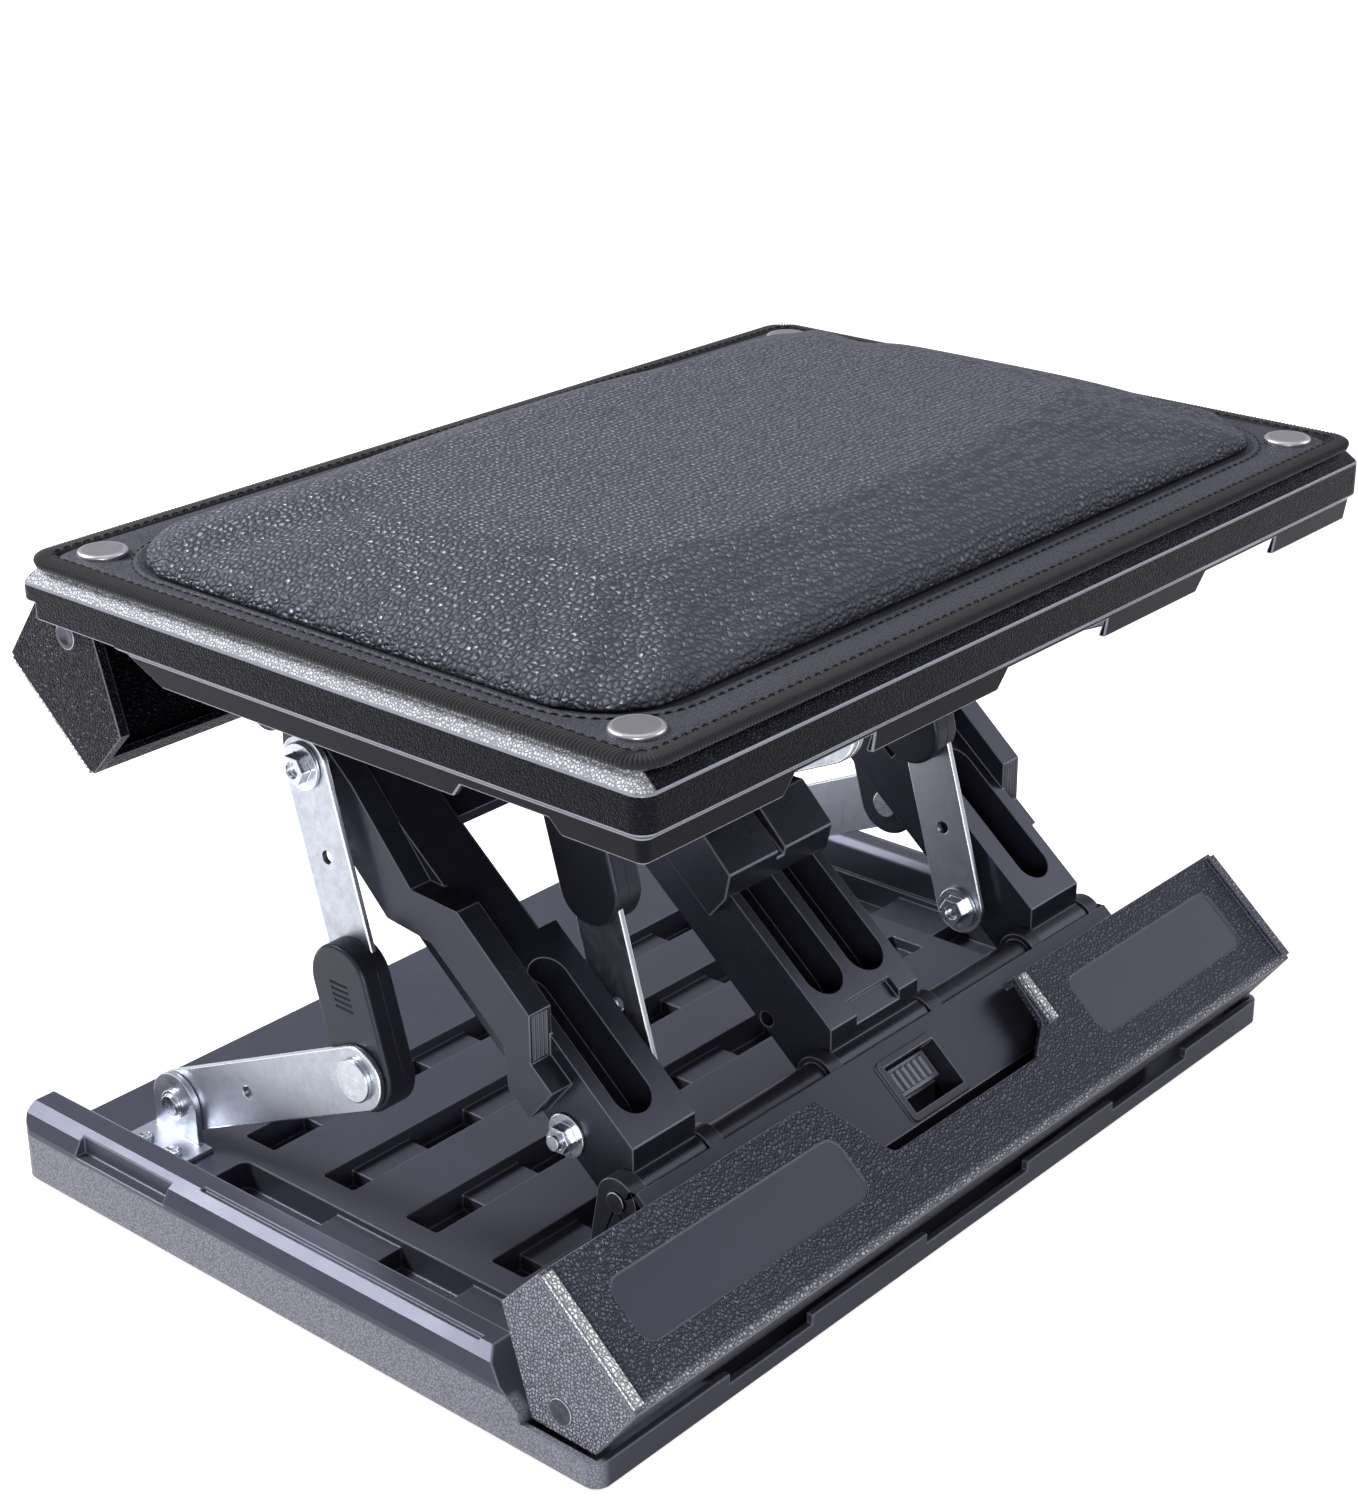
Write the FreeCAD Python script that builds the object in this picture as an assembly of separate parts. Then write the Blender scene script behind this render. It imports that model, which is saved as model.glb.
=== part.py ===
import FreeCAD, Part
import math
import os

# Folding footrest in millimetres. X runs along the long side, -Y is the front,
# Z is up. The origin is on the floor under the middle of the base.
# A point in the side view is written (y, z).

# Overall sizes
WIDTH = 420.0
BASE_DEPTH = 305.0
PLATFORM_DEPTH = 292.0
PLATFORM_SETBACK = 38.0
RIM_HEIGHT = 262.0
SHELL_CORNER_R = 6.0

# Base and platform shells
FOOT_HEIGHT = 1.5
DECK_HEIGHT = 15.0
DECK_SKIN = 3.5
SHELL_WALL = 3.0
SIDE_WALL_WIDTH = 20.0
SIDE_WALL_HEIGHT = 31.0
FRONT_WALL_HEIGHT = 12.0
FRONT_NOTCH_DEPTH = 4.0
WALL_SHOULDER = 3.0
WALL_SLOPE = 5.0
WALL_RAMP = 20.0
GROOVE_WIDTH = 2.0
GROOVE_DEPTH = 1.2
GROOVE_INSET = 7.5
GROOVE_START = 11.0
GROOVE_END = 100.5
THUMB_DEPTH = 5.0
THUMB_HEIGHT = 7.5
THUMB_DROP = 1.5
THUMB_FROM_REAR = 86.5
THUMB_LENGTH = 52.0
STRIP_WIDTH = 12.0
STRIP_INSET = 20.0
TROUGH_LENGTH = 32.5
PLATFORM_WALL = 29.0
PLATFORM_RIM_CHAMFER = 5.5
PLATFORM_BAND = 18.5
PLATFORM_TAPER = 3.5
CREASE_HEIGHT = 1.5
CREASE_INSET = 2.1
REAR_OPENING = 16.0
REAR_SLOPE = 22.0
REAR_WALL_DEPTH = 3.0
SIDE_NOTCH_START = 35.5
SIDE_NOTCH_LENGTH = 47.0
SIDE_NOTCH_HEIGHT = 5.0
NOTCH_SLOPE = 5.0
EDGE_NOTCH_HEIGHT = 7.0
NOTCHES_X = ((-143.0, -98.0), (-30.0, 35.0), (95.0, 150.0))

# Deck bars and the wells between them
BAR_WIDTH = 28.0
BAR_GAP = 17.0
BAR_COUNT = 4
BARS_START = 41.0
WELLS_INSET = 60.0
WELL_BLOCKS = 5
WELL_BLOCK_LENGTH = 30.0
WELL_BLOCK_DROP = 5.0
WELL_CORNER_R = 1.5
SIDE_WELL_WIDTH = 26.0
SIDE_WELL_CORNER_R = 4.0
SIDE_BLOCK_DROP = 3.0
SIDE_WELL_GAP = 2.0
SIDE_WELL_LEAD = 1.0
SIDE_WELL_TAIL = 76.5
SIDE_BLOCKS_AT = (0.12, 0.52)
SIDE_BLOCK_SHARE = 0.19

# Main hinges and the support frame. Places on a post are measured along it, from
# the lower rod, or down from the upper rod where the name ends in DROP.
HINGE_SETBACK = 49.5
HINGE_Z = 61.0
ROD_R = 4.0
KNUCKLE_R = 8.0
KNUCKLE_ROOM = 1.0
POST_THICK = 28.0
POST_WIDTH = 33.0
POST_INSET = 73.0
MIDDLE_POST_HALF = 27.0
FOOT_START = 10.5
HEEL_DROP = 5.7
HEEL_RISE = 1.3
HEEL_OFF = 6.0
RAIL_WIDTH = 10.0
RAIL_START = 42.0
RAIL_HALF_LOW = 9.0
RAIL_LEAN = 1.0
STEP_START = 55.0
STEP_RUN = 12.0
RAIL_RISE = 22.5
RAIL_UNDER = 2.0
SHOULDER_DROP = 107.2
SHOULDER_RUN = 18.5
SHOULDER_OFF = 10.0
RAIL_BEND_DROP = 46.7
RAIL_END_DROP = 18.7
RAIL_TOP_OFF = 17.0
RAIL_END_LOW = 4.0
FLUTE_COUNT = 4
FLUTE_WIDTH = 1.0
FLUTE_DEPTH = 0.8
BEAM_START_DROP = 68.7
BEAM_END_DROP = 41.7
BEAM_THICK = 10.0
BEAM_OFF = 2.0
POCKET_DEPTH = 15.0
OUTER_POCKET_R = 8.5
OUTER_POCKET_RIM = 6.0
OUTER_POCKET_START = 20.0
OUTER_POCKET_DROP = 132.7
WAIST_DEPTH = 9.0
WAIST_OFF = 4.0
WAIST_START_DROP = 122.7
WAIST_END_DROP = 43.7
MIDDLE_POCKET_R = 9.5
MIDDLE_RIB = 6.0
MIDDLE_POCKET_START = 22.0
MIDDLE_POCKET_END = 88.0
TOE_NOTCH = (-11.0, 15.0)
TOE_NOTCH_START = 8.0
TOE_NOTCH_END = 17.0
TOE_NOTCH_DEPTH = 3.0
CAP_START = 73.0
CAP_END = 113.0
CAP_CHEEK = 4.0
CAP_GRIP = 12.0
CAP_RISE = 10.0
CAP_CROWN = 12.0
CAP_SLOPE_LOW = 5.0
CAP_SLOPE_HIGH = 14.0
CAP_GROOVE = 4.0
CAP_GROOVE_OFF = 7.0

# Hinge carriers. Places on the sloping cover and on the latch are measured up
# the slope from the flap's pin and out from it.
EAR_WIDTH = 7.5
EAR_R = 9.0
EAR_TOE = 1.5
ROD_OVERHANG = 1.0
SLEEVE_WALL = 2.5
COVER_THICK = 3.0
COVER_OFF = 21.0
COVER_TOP = 45.5
COVER_KNEE = 12.0
CARRIER_FLANGE = 3.0
LATCH_WIDTH = 27.0
LATCH_SIDE_PLAY = 1.5
LATCH_TRAVEL = 6.0
LATCH_BOTTOM = 24.0
LATCH_TOP = 35.5
LATCH_FACE = 15.5
LATCH_BACK = 8.0
LATCH_LIP = 5.0
LATCH_LIP_OFF = 9.4
LATCH_LIP_THICK = 3.0
LATCH_RIM = 2.5
LATCH_END_ROOM = 1.0
WINDOW_FRAME = 3.0
WINDOW_RISE = 1.2
WINDOW_CORNER_R = 2.5
LATCH_RIDGES = 6
RIDGE_MARGIN = 3.0
RIDGE_WIDTH = 1.8
RIDGE_HEIGHT = 1.3
RIDGE_INSET = 1.5

# Flaps. Places on a flap are measured up its slope from the pin and out from it.
FLAP_PIN_SETBACK = 19.5
FLAP_PIN_Z = 22.7
FLAP_PIN_R = 3.0
FLAP_HEAD_R = 5.0
LUG_R = 7.5
FLAP_THICK = 3.0
FLAP_SIDE_THICK = 4.2
FLAP_SLOPE = 40.8
FLAP_END_GAP = 0.8
FLAP_OFF = 32.6
FLAP_TOP = 39.0
FLAP_BOTTOM = -16.0
FLAP_LIP_DEPTH = 7.6
FLAP_HEEL = (-15.3, -9.9)
FLAP_TOE = (13.4, -9.1)
FLAP_REAR = (25.8, 31.8)
FLAP_PANEL_DEPTH = 0.8
FLAP_PANEL_BOTTOM = 0.0
FLAP_PANEL_CORNER_R = 6.0
LEFT_PANEL_TOP = 25.0
RIGHT_PANEL_TOP = 27.0
LEFT_PANEL_INSET = (20.2, 140.2)
RIGHT_PANEL_INSET = (18.2, 122.2)
FLAP_BEAD = 4.5
BEAD_HEIGHT = 2.0
BEAD_MARGIN = 1.5
CUTOUT_BEAD_X = 62.0
CUTOUT_BEAD_START = 16.0
CUTOUT = ((-63.0, 39.0), (-46.0, 8.0), (44.0, 8.0), (59.0, 18.0), (61.0, 39.0))
CUTOUT_DEPTH = 14.0
CUTOUT_CORNER_R = 5.0
LUG_WIDTH = 6.0
LUG_FRONT = 2.0
PIN_HEAD_SEAT = 1.6
PIN_HEAD_PROUD = 0.3
PIN_DISH_R = 9.0

# Steel linkages. All four are alike, so the shorter shell sets their reach.
BASE_TAIL = 44.5
PLATFORM_TAIL = 31.5
ARM_PIVOT_Z = 31.0
KNEE_SHARE = 0.5071
KNEE_Z = 79.0
BOLT_DROP = 30.4
BOLT_OFF = 10.4
STEEL_THICK = 2.5
STEEL_EDGE = 0.4
ARM_R = 12.75
ARM_HOLE_SHARE = 0.4
STRUT_R = 11.5
STRUT_HOLE_SHARE = 0.7
LINK_HOLE_R = 2.6
PIVOT_R = 4.0
PIVOT_HEAD_R = 6.2
PIVOT_HEAD_THICK = 1.6
PIVOT_STUB_R = 4.6
PIVOT_STUB_THICK = 1.4
KNEE_SHAFT_R = 3.5
KNEE_HEAD_R = 8.5
KNEE_HEAD_THICK = 2.4
KNEE_HEAD_EDGE = 0.7
KNEE_FOOT_R = 6.0
KNEE_FOOT_THICK = 1.4
BOLT_R = 3.0
BOLT_TAIL = 8.0
BOLT_SOCKET_R = 3.0
BOLT_SOCKET_DEPTH = 2.0
FLANGE_R = 9.0
FLANGE_THICK = 1.5
HEX_R = 5.8
HEX_THICK = 4.3
NUT_R = 5.4
NUT_THICK = 4.4
NUT_WASHER_R = 8.5
WASHER_THICK = 1.1
SPACER_R = 5.0
BOLT_PLAY = 4.4
COVER_R = 14.5
COVER_LENGTH = 36.0
COVER_EDGE_R = 1.6
COVER_FACE = 1.4
CELL_R = 6.6
CELL_END = 8.0
DASH_COUNT = 5
DASH_START = 26.0
DASH_PITCH = 2.4
DASH_LENGTH = 9.0
DASH_WIDTH = 0.9
DASH_DEPTH = 0.6
WHEEL_R = 9.0
WHEEL_TEETH = 14
TOOTH_DEPTH = 2.2
TOOTH_SHARE = 0.86
HUB_R = 6.0
PAWL_AT = 22.5
PAWL_POST_R = 2.0
PAWL_POST_OFF = -2.0
PAWL_NOSE_GAP = 0.35
BRACKET_LENGTH = 34.0
BRACKET_LEAD = 18.0
BRACKET_FOOT = 20.0
BRACKET_FOOT_THICK = 2.1
SCREW_R = 2.2
SCREW_LENGTH = 8.0
SCREW_HEAD_R = 4.2
SCREW_HEAD_THICK = 2.2
SCREW_HEAD_EDGE = 1.4
SCREW_SLOT_WIDTH = 1.0
SCREW_SLOT_LENGTH = 5.2
SCREW_SLOT_DEPTH = 1.3
SCREW_AT = 11.0
SCREWS_AT = (-10.0, 7.0)

# Places across the linkage, counted outwards from the face it is bolted to
STRUT_AT = 4.5
COVER_AT = 2.5
COVER_SPLIT = 9.0
COVER_END = 16.0
ARM_AT = 16.4

# Cushion
BINDING_WIDTH = 8.0
BINDING_HEIGHT = 4.0
BORDER_HEIGHT = 3.0
BORDER_WIDTH = 21.0
CUSHION_BULGE = 3.0
CUSHION_CROWN = 24.0
CUSHION_ROUNDING = 70.0
CUSHION_CORNER_R = 30.0
CUSHION_INSET = 1.0
CUSHION_EDGE_R = 4.0
CUSHION_BULGE_HEIGHT = 5.0
CUSHION_LAYERS = 8
CUSHION_LAYER_TURN = 12.0
SNAP_R = 9.0
SNAP_THICK = 2.0
SNAP_EDGE_R = 1.2
SNAP_INSET = 21.5
STUD_PLATE_R = 5.5
STUD_PLATE_THICK = 2.4
STUD_R = 2.5

# Clearances
RUN_FIT = 0.06
FIT = 0.02
FACE_GAP = 0.4
SOFT_GAP = 0.3

# Places worked out from the sizes above
HALF_W = WIDTH / 2.0
BASE_FRONT = -BASE_DEPTH / 2.0
BASE_REAR = BASE_DEPTH / 2.0
PLATFORM_REAR = BASE_REAR - PLATFORM_SETBACK
PLATFORM_FRONT = PLATFORM_REAR - PLATFORM_DEPTH
MIRROR_Y = (BASE_FRONT + PLATFORM_REAR) / 2.0
MIRROR_Z = RIM_HEIGHT / 2.0
HINGE_Y = BASE_FRONT + HINGE_SETBACK
TOP_HINGE = (2.0 * MIRROR_Y - HINGE_Y, RIM_HEIGHT - HINGE_Z)
OUTER_POST_X = (HALF_W - POST_INSET - POST_WIDTH, HALF_W - POST_INSET)
FLAP_PIN_Y = BASE_FRONT + FLAP_PIN_SETBACK
POST_LENGTH = math.hypot(TOP_HINGE[0] - HINGE_Y, TOP_HINGE[1] - HINGE_Z)
POST_ANGLE = math.atan2(TOP_HINGE[1] - HINGE_Z, TOP_HINGE[0] - HINGE_Y)
TROUGH_BACK = BASE_FRONT + SHELL_WALL + TROUGH_LENGTH
FLAP_HALF = HALF_W - SHELL_WALL - FLAP_END_GAP
RAIL_X = OUTER_POST_X[1] + RAIL_WIDTH
ARM_END = ARM_AT + STEEL_THICK
EAR_AT = ARM_END + FACE_GAP
EAR_END = EAR_AT + STEEL_THICK
LINK_REACH = min(BASE_DEPTH - HINGE_SETBACK - BASE_TAIL,
                 PLATFORM_DEPTH - HINGE_SETBACK - PLATFORM_TAIL)

os.makedirs("parts", exist_ok=True)


def vec(x, y, z):
    return FreeCAD.Vector(x, y, z)


def save(name, solids):
    shape = solids[0] if len(solids) == 1 else Part.makeCompound(solids)
    shape.exportStep("parts/" + name + ".step")


def box(x0, x1, y0, y1, z0, z1):
    return Part.makeBox(x1 - x0, y1 - y0, z1 - z0, vec(x0, y0, z0))


def side_prism(points, x0, x1):
    # A solid with the given side view, from x0 to x1.
    corners = [vec(x0, y, z) for y, z in points]
    face = Part.Face(Part.makePolygon(corners + corners[:1]))
    return face.extrude(vec(x1 - x0, 0, 0))


def rod(radius, x0, x1, place):
    low = min(x0, x1)
    return Part.makeCylinder(radius, abs(x1 - x0), vec(low, place[0], place[1]), vec(1, 0, 0))


def upright(radius, x, y, z0, z1):
    return Part.makeCylinder(radius, z1 - z0, vec(x, y, z0))


def hex_prism(radius, x0, x1, place):
    turns = [math.radians(60.0 * k) for k in range(6)]
    points = [(place[0] + radius * math.cos(a), place[1] + radius * math.sin(a)) for a in turns]
    return side_prism(points, x0, x1)


def fuse(solids):
    return solids[0].multiFuse(solids[1:]).removeSplitter()


def cut(solid, tools):
    return solid.cut(Part.makeCompound(tools)) if tools else solid


def mirrored(solid):
    return solid.mirror(vec(0, 0, 0), vec(1, 0, 0))


def half_turned(solid):
    # The upper mechanism is the lower one turned half a turn about a cross axis.
    turned = solid.copy()
    turned.rotate(vec(0, MIRROR_Y, MIRROR_Z), vec(1, 0, 0), 180.0)
    return turned


def half_turned_point(place):
    return (2.0 * MIRROR_Y - place[0], RIM_HEIGHT - place[1])


def between(a, b, share):
    return (a[0] + (b[0] - a[0]) * share, a[1] + (b[1] - a[1]) * share)


def rounded_wire(inset, z, front, rear, corner, half=HALF_W):
    # A rounded rectangle at height z, drawn in from the outline by inset.
    x = half - inset
    y0 = front + inset
    y1 = rear - inset
    r = max(corner - inset, 2.0)
    d = r * (1.0 - math.cos(math.radians(45.0)))
    edges = []
    corners = ((x, y0, -1, 1), (x, y1, 1, 1), (-x, y1, 1, -1), (-x, y0, -1, -1))
    ends = []
    for cx, cy, sy, sx in corners:
        on_side = vec(cx, cy - sy * r, z)
        on_end = vec(cx - sx * r, cy, z)
        middle = vec(cx - sx * d, cy - sy * d, z)
        first, last = (on_end, on_side) if sx * sy < 0 else (on_side, on_end)
        ends.append((first, middle, last))
    for k in range(4):
        first, middle, last = ends[k]
        edges.append(Part.Arc(first, middle, last).toShape())
        edges.append(Part.makeLine(last, ends[(k + 1) % 4][0]))
    return Part.Wire(edges)


def rounded_block(inset, z0, z1, front, rear, corner):
    return Part.Face(rounded_wire(inset, z0, front, rear, corner)).extrude(vec(0, 0, z1 - z0))


# Points along the leaning posts: s runs from the lower rod to the upper rod,
# t stands off the line between them, towards the front and up.
def on_post(s, t):
    c = math.cos(POST_ANGLE)
    d = math.sin(POST_ANGLE)
    return (HINGE_Y + s * c - t * d, HINGE_Z + s * d + t * c)


def post_slot(middle, radius, s0, s1):
    # A pocket with round ends, sunk into the front face of a post.
    top = POST_THICK
    floor = POST_THICK / 2.0 - POCKET_DEPTH
    x0 = middle - radius
    x1 = middle + radius
    cutters = [slab_on_post(x0, x1, s0 + radius, s1 - radius, floor, top)]
    normal = vec(0, -math.sin(POST_ANGLE), math.cos(POST_ANGLE))
    for s in (s0 + radius, s1 - radius):
        y, z = on_post(s, floor)
        cutters.append(Part.makeCylinder(radius, top - floor, vec(middle, y, z), normal))
    return fuse(cutters)


def slab_on_post(x0, x1, s0, s1, t0, t1):
    return side_prism([on_post(s0, t0), on_post(s1, t0), on_post(s1, t1), on_post(s0, t1)], x0, x1)


# Points on the flap: u runs up its sloping face from the pin, v stands off it.
def on_flap(u, v):
    c = math.cos(math.radians(FLAP_SLOPE))
    d = math.sin(math.radians(FLAP_SLOPE))
    return (FLAP_PIN_Y + u * c - v * d, FLAP_PIN_Z + u * d + v * c)


def flap_slab(x0, x1, u0, u1, v0, v1):
    return side_prism([on_flap(u0, v0), on_flap(u1, v0), on_flap(u1, v1), on_flap(u0, v1)], x0, x1)


def flap_normal():
    slope = math.radians(FLAP_SLOPE)
    return vec(0, -math.sin(slope), math.cos(slope))


# Rounds the edges of a solid that run along a direction, all or those at given X.
def soften(solid, radius, direction, places=None):
    edges = []
    for edge in solid.Edges:
        run = edge.tangentAt(edge.FirstParameter)
        x = edge.Vertexes[0].Point.x
        chosen = places is None or min(abs(x - place) for place in places) < 0.01
        if chosen and abs(run.dot(direction)) > 0.999:
            edges.append(edge)
    return solid.makeFillet(radius, edges)


# Wells: bars lie across the deck, with sunken cells and lower blocks between
def deck_wells(deck, floor):
    wells = []
    half = HALF_W - WELLS_INSET
    pitch = BAR_WIDTH + BAR_GAP
    cell = 2.0 * half / WELL_BLOCKS
    for row in range(BAR_COUNT):
        y0 = HINGE_Y + BARS_START + row * pitch
        y1 = y0 + BAR_GAP
        shift = cell / 4.0 if row % 2 else 0.0
        channel = soften(box(-half, half, y0, y1, floor, deck + 1.0), WELL_CORNER_R, vec(0, 0, 1))
        blocks = []
        for k in range(WELL_BLOCKS):
            x0 = -half + shift + (k + 0.25) * cell
            x1 = min(x0 + WELL_BLOCK_LENGTH, half)
            blocks.append(box(x0, x1, y0 - 1.0, y1 + 1.0, floor - 1.0, deck - WELL_BLOCK_DROP))
        wells.append(cut(channel, blocks))
    return wells


def side_wells(deck, floor):
    # The long wells beside the walls, each with two raised blocks.
    outer = HALF_W - SIDE_WALL_WIDTH - SIDE_WELL_GAP
    inner = outer - SIDE_WELL_WIDTH
    front = HINGE_Y - SIDE_WELL_LEAD
    rear = BASE_REAR - SIDE_WELL_TAIL
    span = rear - front
    wells = []
    for side in (-1.0, 1.0):
        low = min(side * inner, side * outer)
        high = max(side * inner, side * outer)
        well = soften(box(low, high, front, rear, floor, deck + 1.0), SIDE_WELL_CORNER_R,
                      vec(0, 0, 1))
        blocks = []
        for share in SIDE_BLOCKS_AT:
            y0 = front + share * span
            y1 = y0 + SIDE_BLOCK_SHARE * span
            blocks.append(box(low - 1.0, high + 1.0, y0, y1, floor - 1.0, deck - SIDE_BLOCK_DROP))
        wells.append(cut(well, blocks))
    return wells


def front_notches(y0, y1, z0, z1):
    return [box(x0, x1, y0, y1, z0, z1) for x0, x1 in NOTCHES_X]


def sloped_notches(y0, y1, z0, z1):
    # The same notches in the platform, whose left ends slope.
    notches = []
    for x0, x1 in NOTCHES_X:
        corners = [(x0, z0), (x1, z0), (x1, z1), (x0 + NOTCH_SLOPE, z1)]
        points = [vec(x, y0, z) for x, z in corners]
        face = Part.Face(Part.makePolygon(points + points[:1]))
        notches.append(face.extrude(vec(0, y1 - y0, 0)))
    return notches


# Base: a low tray with two side walls, a front trough for the flap and deck wells
def side_wall():
    # The left wall: rounded on top, low in front, with a groove and a thumb recess.
    outline = rounded_block(0.0, FOOT_HEIGHT, SIDE_WALL_HEIGHT + 1.0, BASE_FRONT, BASE_REAR,
                            SHELL_CORNER_R)
    inner = HALF_W - SIDE_WALL_WIDTH
    crown = SIDE_WALL_HEIGHT
    shoulder = WALL_SHOULDER
    section = ((-HALF_W, FOOT_HEIGHT), (-HALF_W, crown - shoulder - WALL_SLOPE),
               (-HALF_W + shoulder, crown - shoulder),
               (-HALF_W + shoulder + WALL_SLOPE, crown), (-inner - shoulder, crown),
               (-inner, crown - shoulder), (-inner, FOOT_HEIGHT))
    corners = [vec(x, TROUGH_BACK - 1.0, z) for x, z in section]
    face = Part.Face(Part.makePolygon(corners + corners[:1]))
    wall = face.extrude(vec(0, BASE_REAR - TROUGH_BACK + 1.0, 0)).common(outline)
    ramp = side_prism([(TROUGH_BACK - 2.0, DECK_HEIGHT), (TROUGH_BACK + WALL_RAMP, crown + 1.0),
                       (TROUGH_BACK - 2.0, crown + 1.0)], -HALF_W - 1.0, -inner + 1.0)
    groove = box(-HALF_W + GROOVE_INSET, -HALF_W + GROOVE_INSET + GROOVE_WIDTH,
                 HINGE_Y + GROOVE_START, BASE_REAR - GROOVE_END, crown - GROOVE_DEPTH,
                 crown + 1.0)
    thumb_front = BASE_REAR - THUMB_FROM_REAR
    thumb_top = crown - THUMB_DROP
    thumb = box(-HALF_W - 1.0, -HALF_W + THUMB_DEPTH, thumb_front, thumb_front + THUMB_LENGTH,
                thumb_top - THUMB_HEIGHT, thumb_top)
    return cut(wall, [ramp, groove, thumb])


def base_shell():
    slab = rounded_block(0.0, FOOT_HEIGHT, DECK_HEIGHT, BASE_FRONT, BASE_REAR, SHELL_CORNER_R)
    wall = side_wall()
    body = fuse([slab, wall, mirrored(wall)])
    trough = box(-HALF_W + SHELL_WALL, HALF_W - SHELL_WALL, BASE_FRONT + SHELL_WALL,
                 TROUGH_BACK, DECK_SKIN, SIDE_WALL_HEIGHT)
    low_front = box(-HALF_W - 1.0, HALF_W + 1.0, BASE_FRONT - 1.0, TROUGH_BACK,
                    FRONT_WALL_HEIGHT, SIDE_WALL_HEIGHT + 2.0)
    notches = front_notches(BASE_FRONT - 1.0, BASE_FRONT + SHELL_WALL + 1.0,
                            FRONT_WALL_HEIGHT - FRONT_NOTCH_DEPTH, FRONT_WALL_HEIGHT + 1.0)
    body = cut(body, [trough, low_front] + notches)
    body = cut(body, deck_wells(DECK_HEIGHT, DECK_SKIN) + side_wells(DECK_HEIGHT, DECK_SKIN))
    body = cut(body, screw_holes(lower_maps()))
    return fuse([body] + flap_lugs(DECK_SKIN))


def flap_lugs(floor):
    # Lugs inside the flap's ends, which carry its pins.
    lugs = []
    x1 = FLAP_HALF - FLAP_SIDE_THICK - FACE_GAP
    x0 = x1 - LUG_WIDTH
    pin = (FLAP_PIN_Y, FLAP_PIN_Z)
    for side in (-1.0, 1.0):
        low = min(side * x0, side * x1)
        high = max(side * x0, side * x1)
        web = box(low, high, FLAP_PIN_Y - LUG_FRONT, FLAP_PIN_Y + LUG_R, floor, FLAP_PIN_Z)
        lug = fuse([web, rod(LUG_R, low, high, pin)])
        lugs.append(cut(lug, [rod(FLAP_PIN_R + FIT, low - 1.0, high + 1.0, pin)]))
    return lugs


def rubber_strips():
    strips = []
    half = STRIP_WIDTH / 2.0
    for y in (BASE_FRONT + STRIP_INSET, 0.0, BASE_REAR - STRIP_INSET):
        strips.append(box(-HALF_W + STRIP_INSET, HALF_W - STRIP_INSET, y - half, y + half,
                          0.0, FOOT_HEIGHT))
    return strips


# Hinge carrier: ears for the rod, a cover plate behind the flap, a latch window
def ear_places():
    inner, outer = OUTER_POST_X
    gap = FACE_GAP
    starts = (MIDDLE_POST_HALF + gap, inner - gap - EAR_WIDTH, outer + gap)
    places = []
    for start in starts:
        places.append((start, start + EAR_WIDTH))
        places.append((-start - EAR_WIDTH, -start))
    return places


def hinge_ear(x0, x1):
    hinge = (HINGE_Y, HINGE_Z)
    side = [(HINGE_Y - EAR_R - EAR_TOE, DECK_HEIGHT), (HINGE_Y - EAR_R, HINGE_Z),
            (HINGE_Y + EAR_R, HINGE_Z), (HINGE_Y + 2.0 * EAR_R, DECK_HEIGHT)]
    ear = fuse([side_prism(side, x0, x1), rod(EAR_R, x0, x1, hinge)])
    return cut(ear, [rod(ROD_R + FIT, x0 - 1.0, x1 + 1.0, hinge)])


def hinge_carrier():
    half = OUTER_POST_X[1] + FACE_GAP + EAR_WIDTH
    knee = on_flap(COVER_KNEE, COVER_OFF)
    knee_back = on_flap(COVER_KNEE, COVER_OFF - COVER_THICK)
    front = knee[0]
    back = front + COVER_THICK
    side = [knee, on_flap(COVER_TOP, COVER_OFF), on_flap(COVER_TOP, COVER_OFF - COVER_THICK),
            (back, knee_back[1]), (back, DECK_SKIN), (front, DECK_SKIN)]
    cover = side_prism(side, -half, half)
    window = LATCH_WIDTH / 2.0 + LATCH_SIDE_PLAY
    low = LATCH_BOTTOM - LATCH_TRAVEL - 2.0
    high = LATCH_TOP + LATCH_END_ROOM
    back_off = LATCH_LIP_OFF + FACE_GAP
    ring = flap_slab(-window - COVER_THICK, window + COVER_THICK, low - COVER_THICK,
                     high + LATCH_RIM, back_off, COVER_OFF)
    hole = flap_slab(-window, window, low, high, LATCH_LIP_OFF - LATCH_LIP_THICK,
                     COVER_OFF + WINDOW_RISE + 1.0)
    heel = HINGE_Y + 2.0 * EAR_R
    flange = CARRIER_FLANGE
    shelf = box(-half, half, back - 0.5, TROUGH_BACK, DECK_SKIN, DECK_SKIN + flange)
    foot = box(-half, half, TROUGH_BACK - flange, heel, DECK_HEIGHT, DECK_HEIGHT + flange)
    riser = box(-half, half, TROUGH_BACK - flange, TROUGH_BACK, DECK_SKIN, DECK_HEIGHT + flange)
    ears = [hinge_ear(x0, x1) for x0, x1 in ear_places()]
    frame = soften(flap_slab(-window - WINDOW_FRAME, window + WINDOW_FRAME, low - WINDOW_FRAME,
                             high + WINDOW_FRAME, COVER_OFF - 0.5, COVER_OFF + WINDOW_RISE),
                   WINDOW_CORNER_R, flap_normal())
    body = fuse([cover, ring, frame, shelf, foot, riser] + ears + rod_sleeves())
    return cut(body, [hole] + post_relief())


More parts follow.
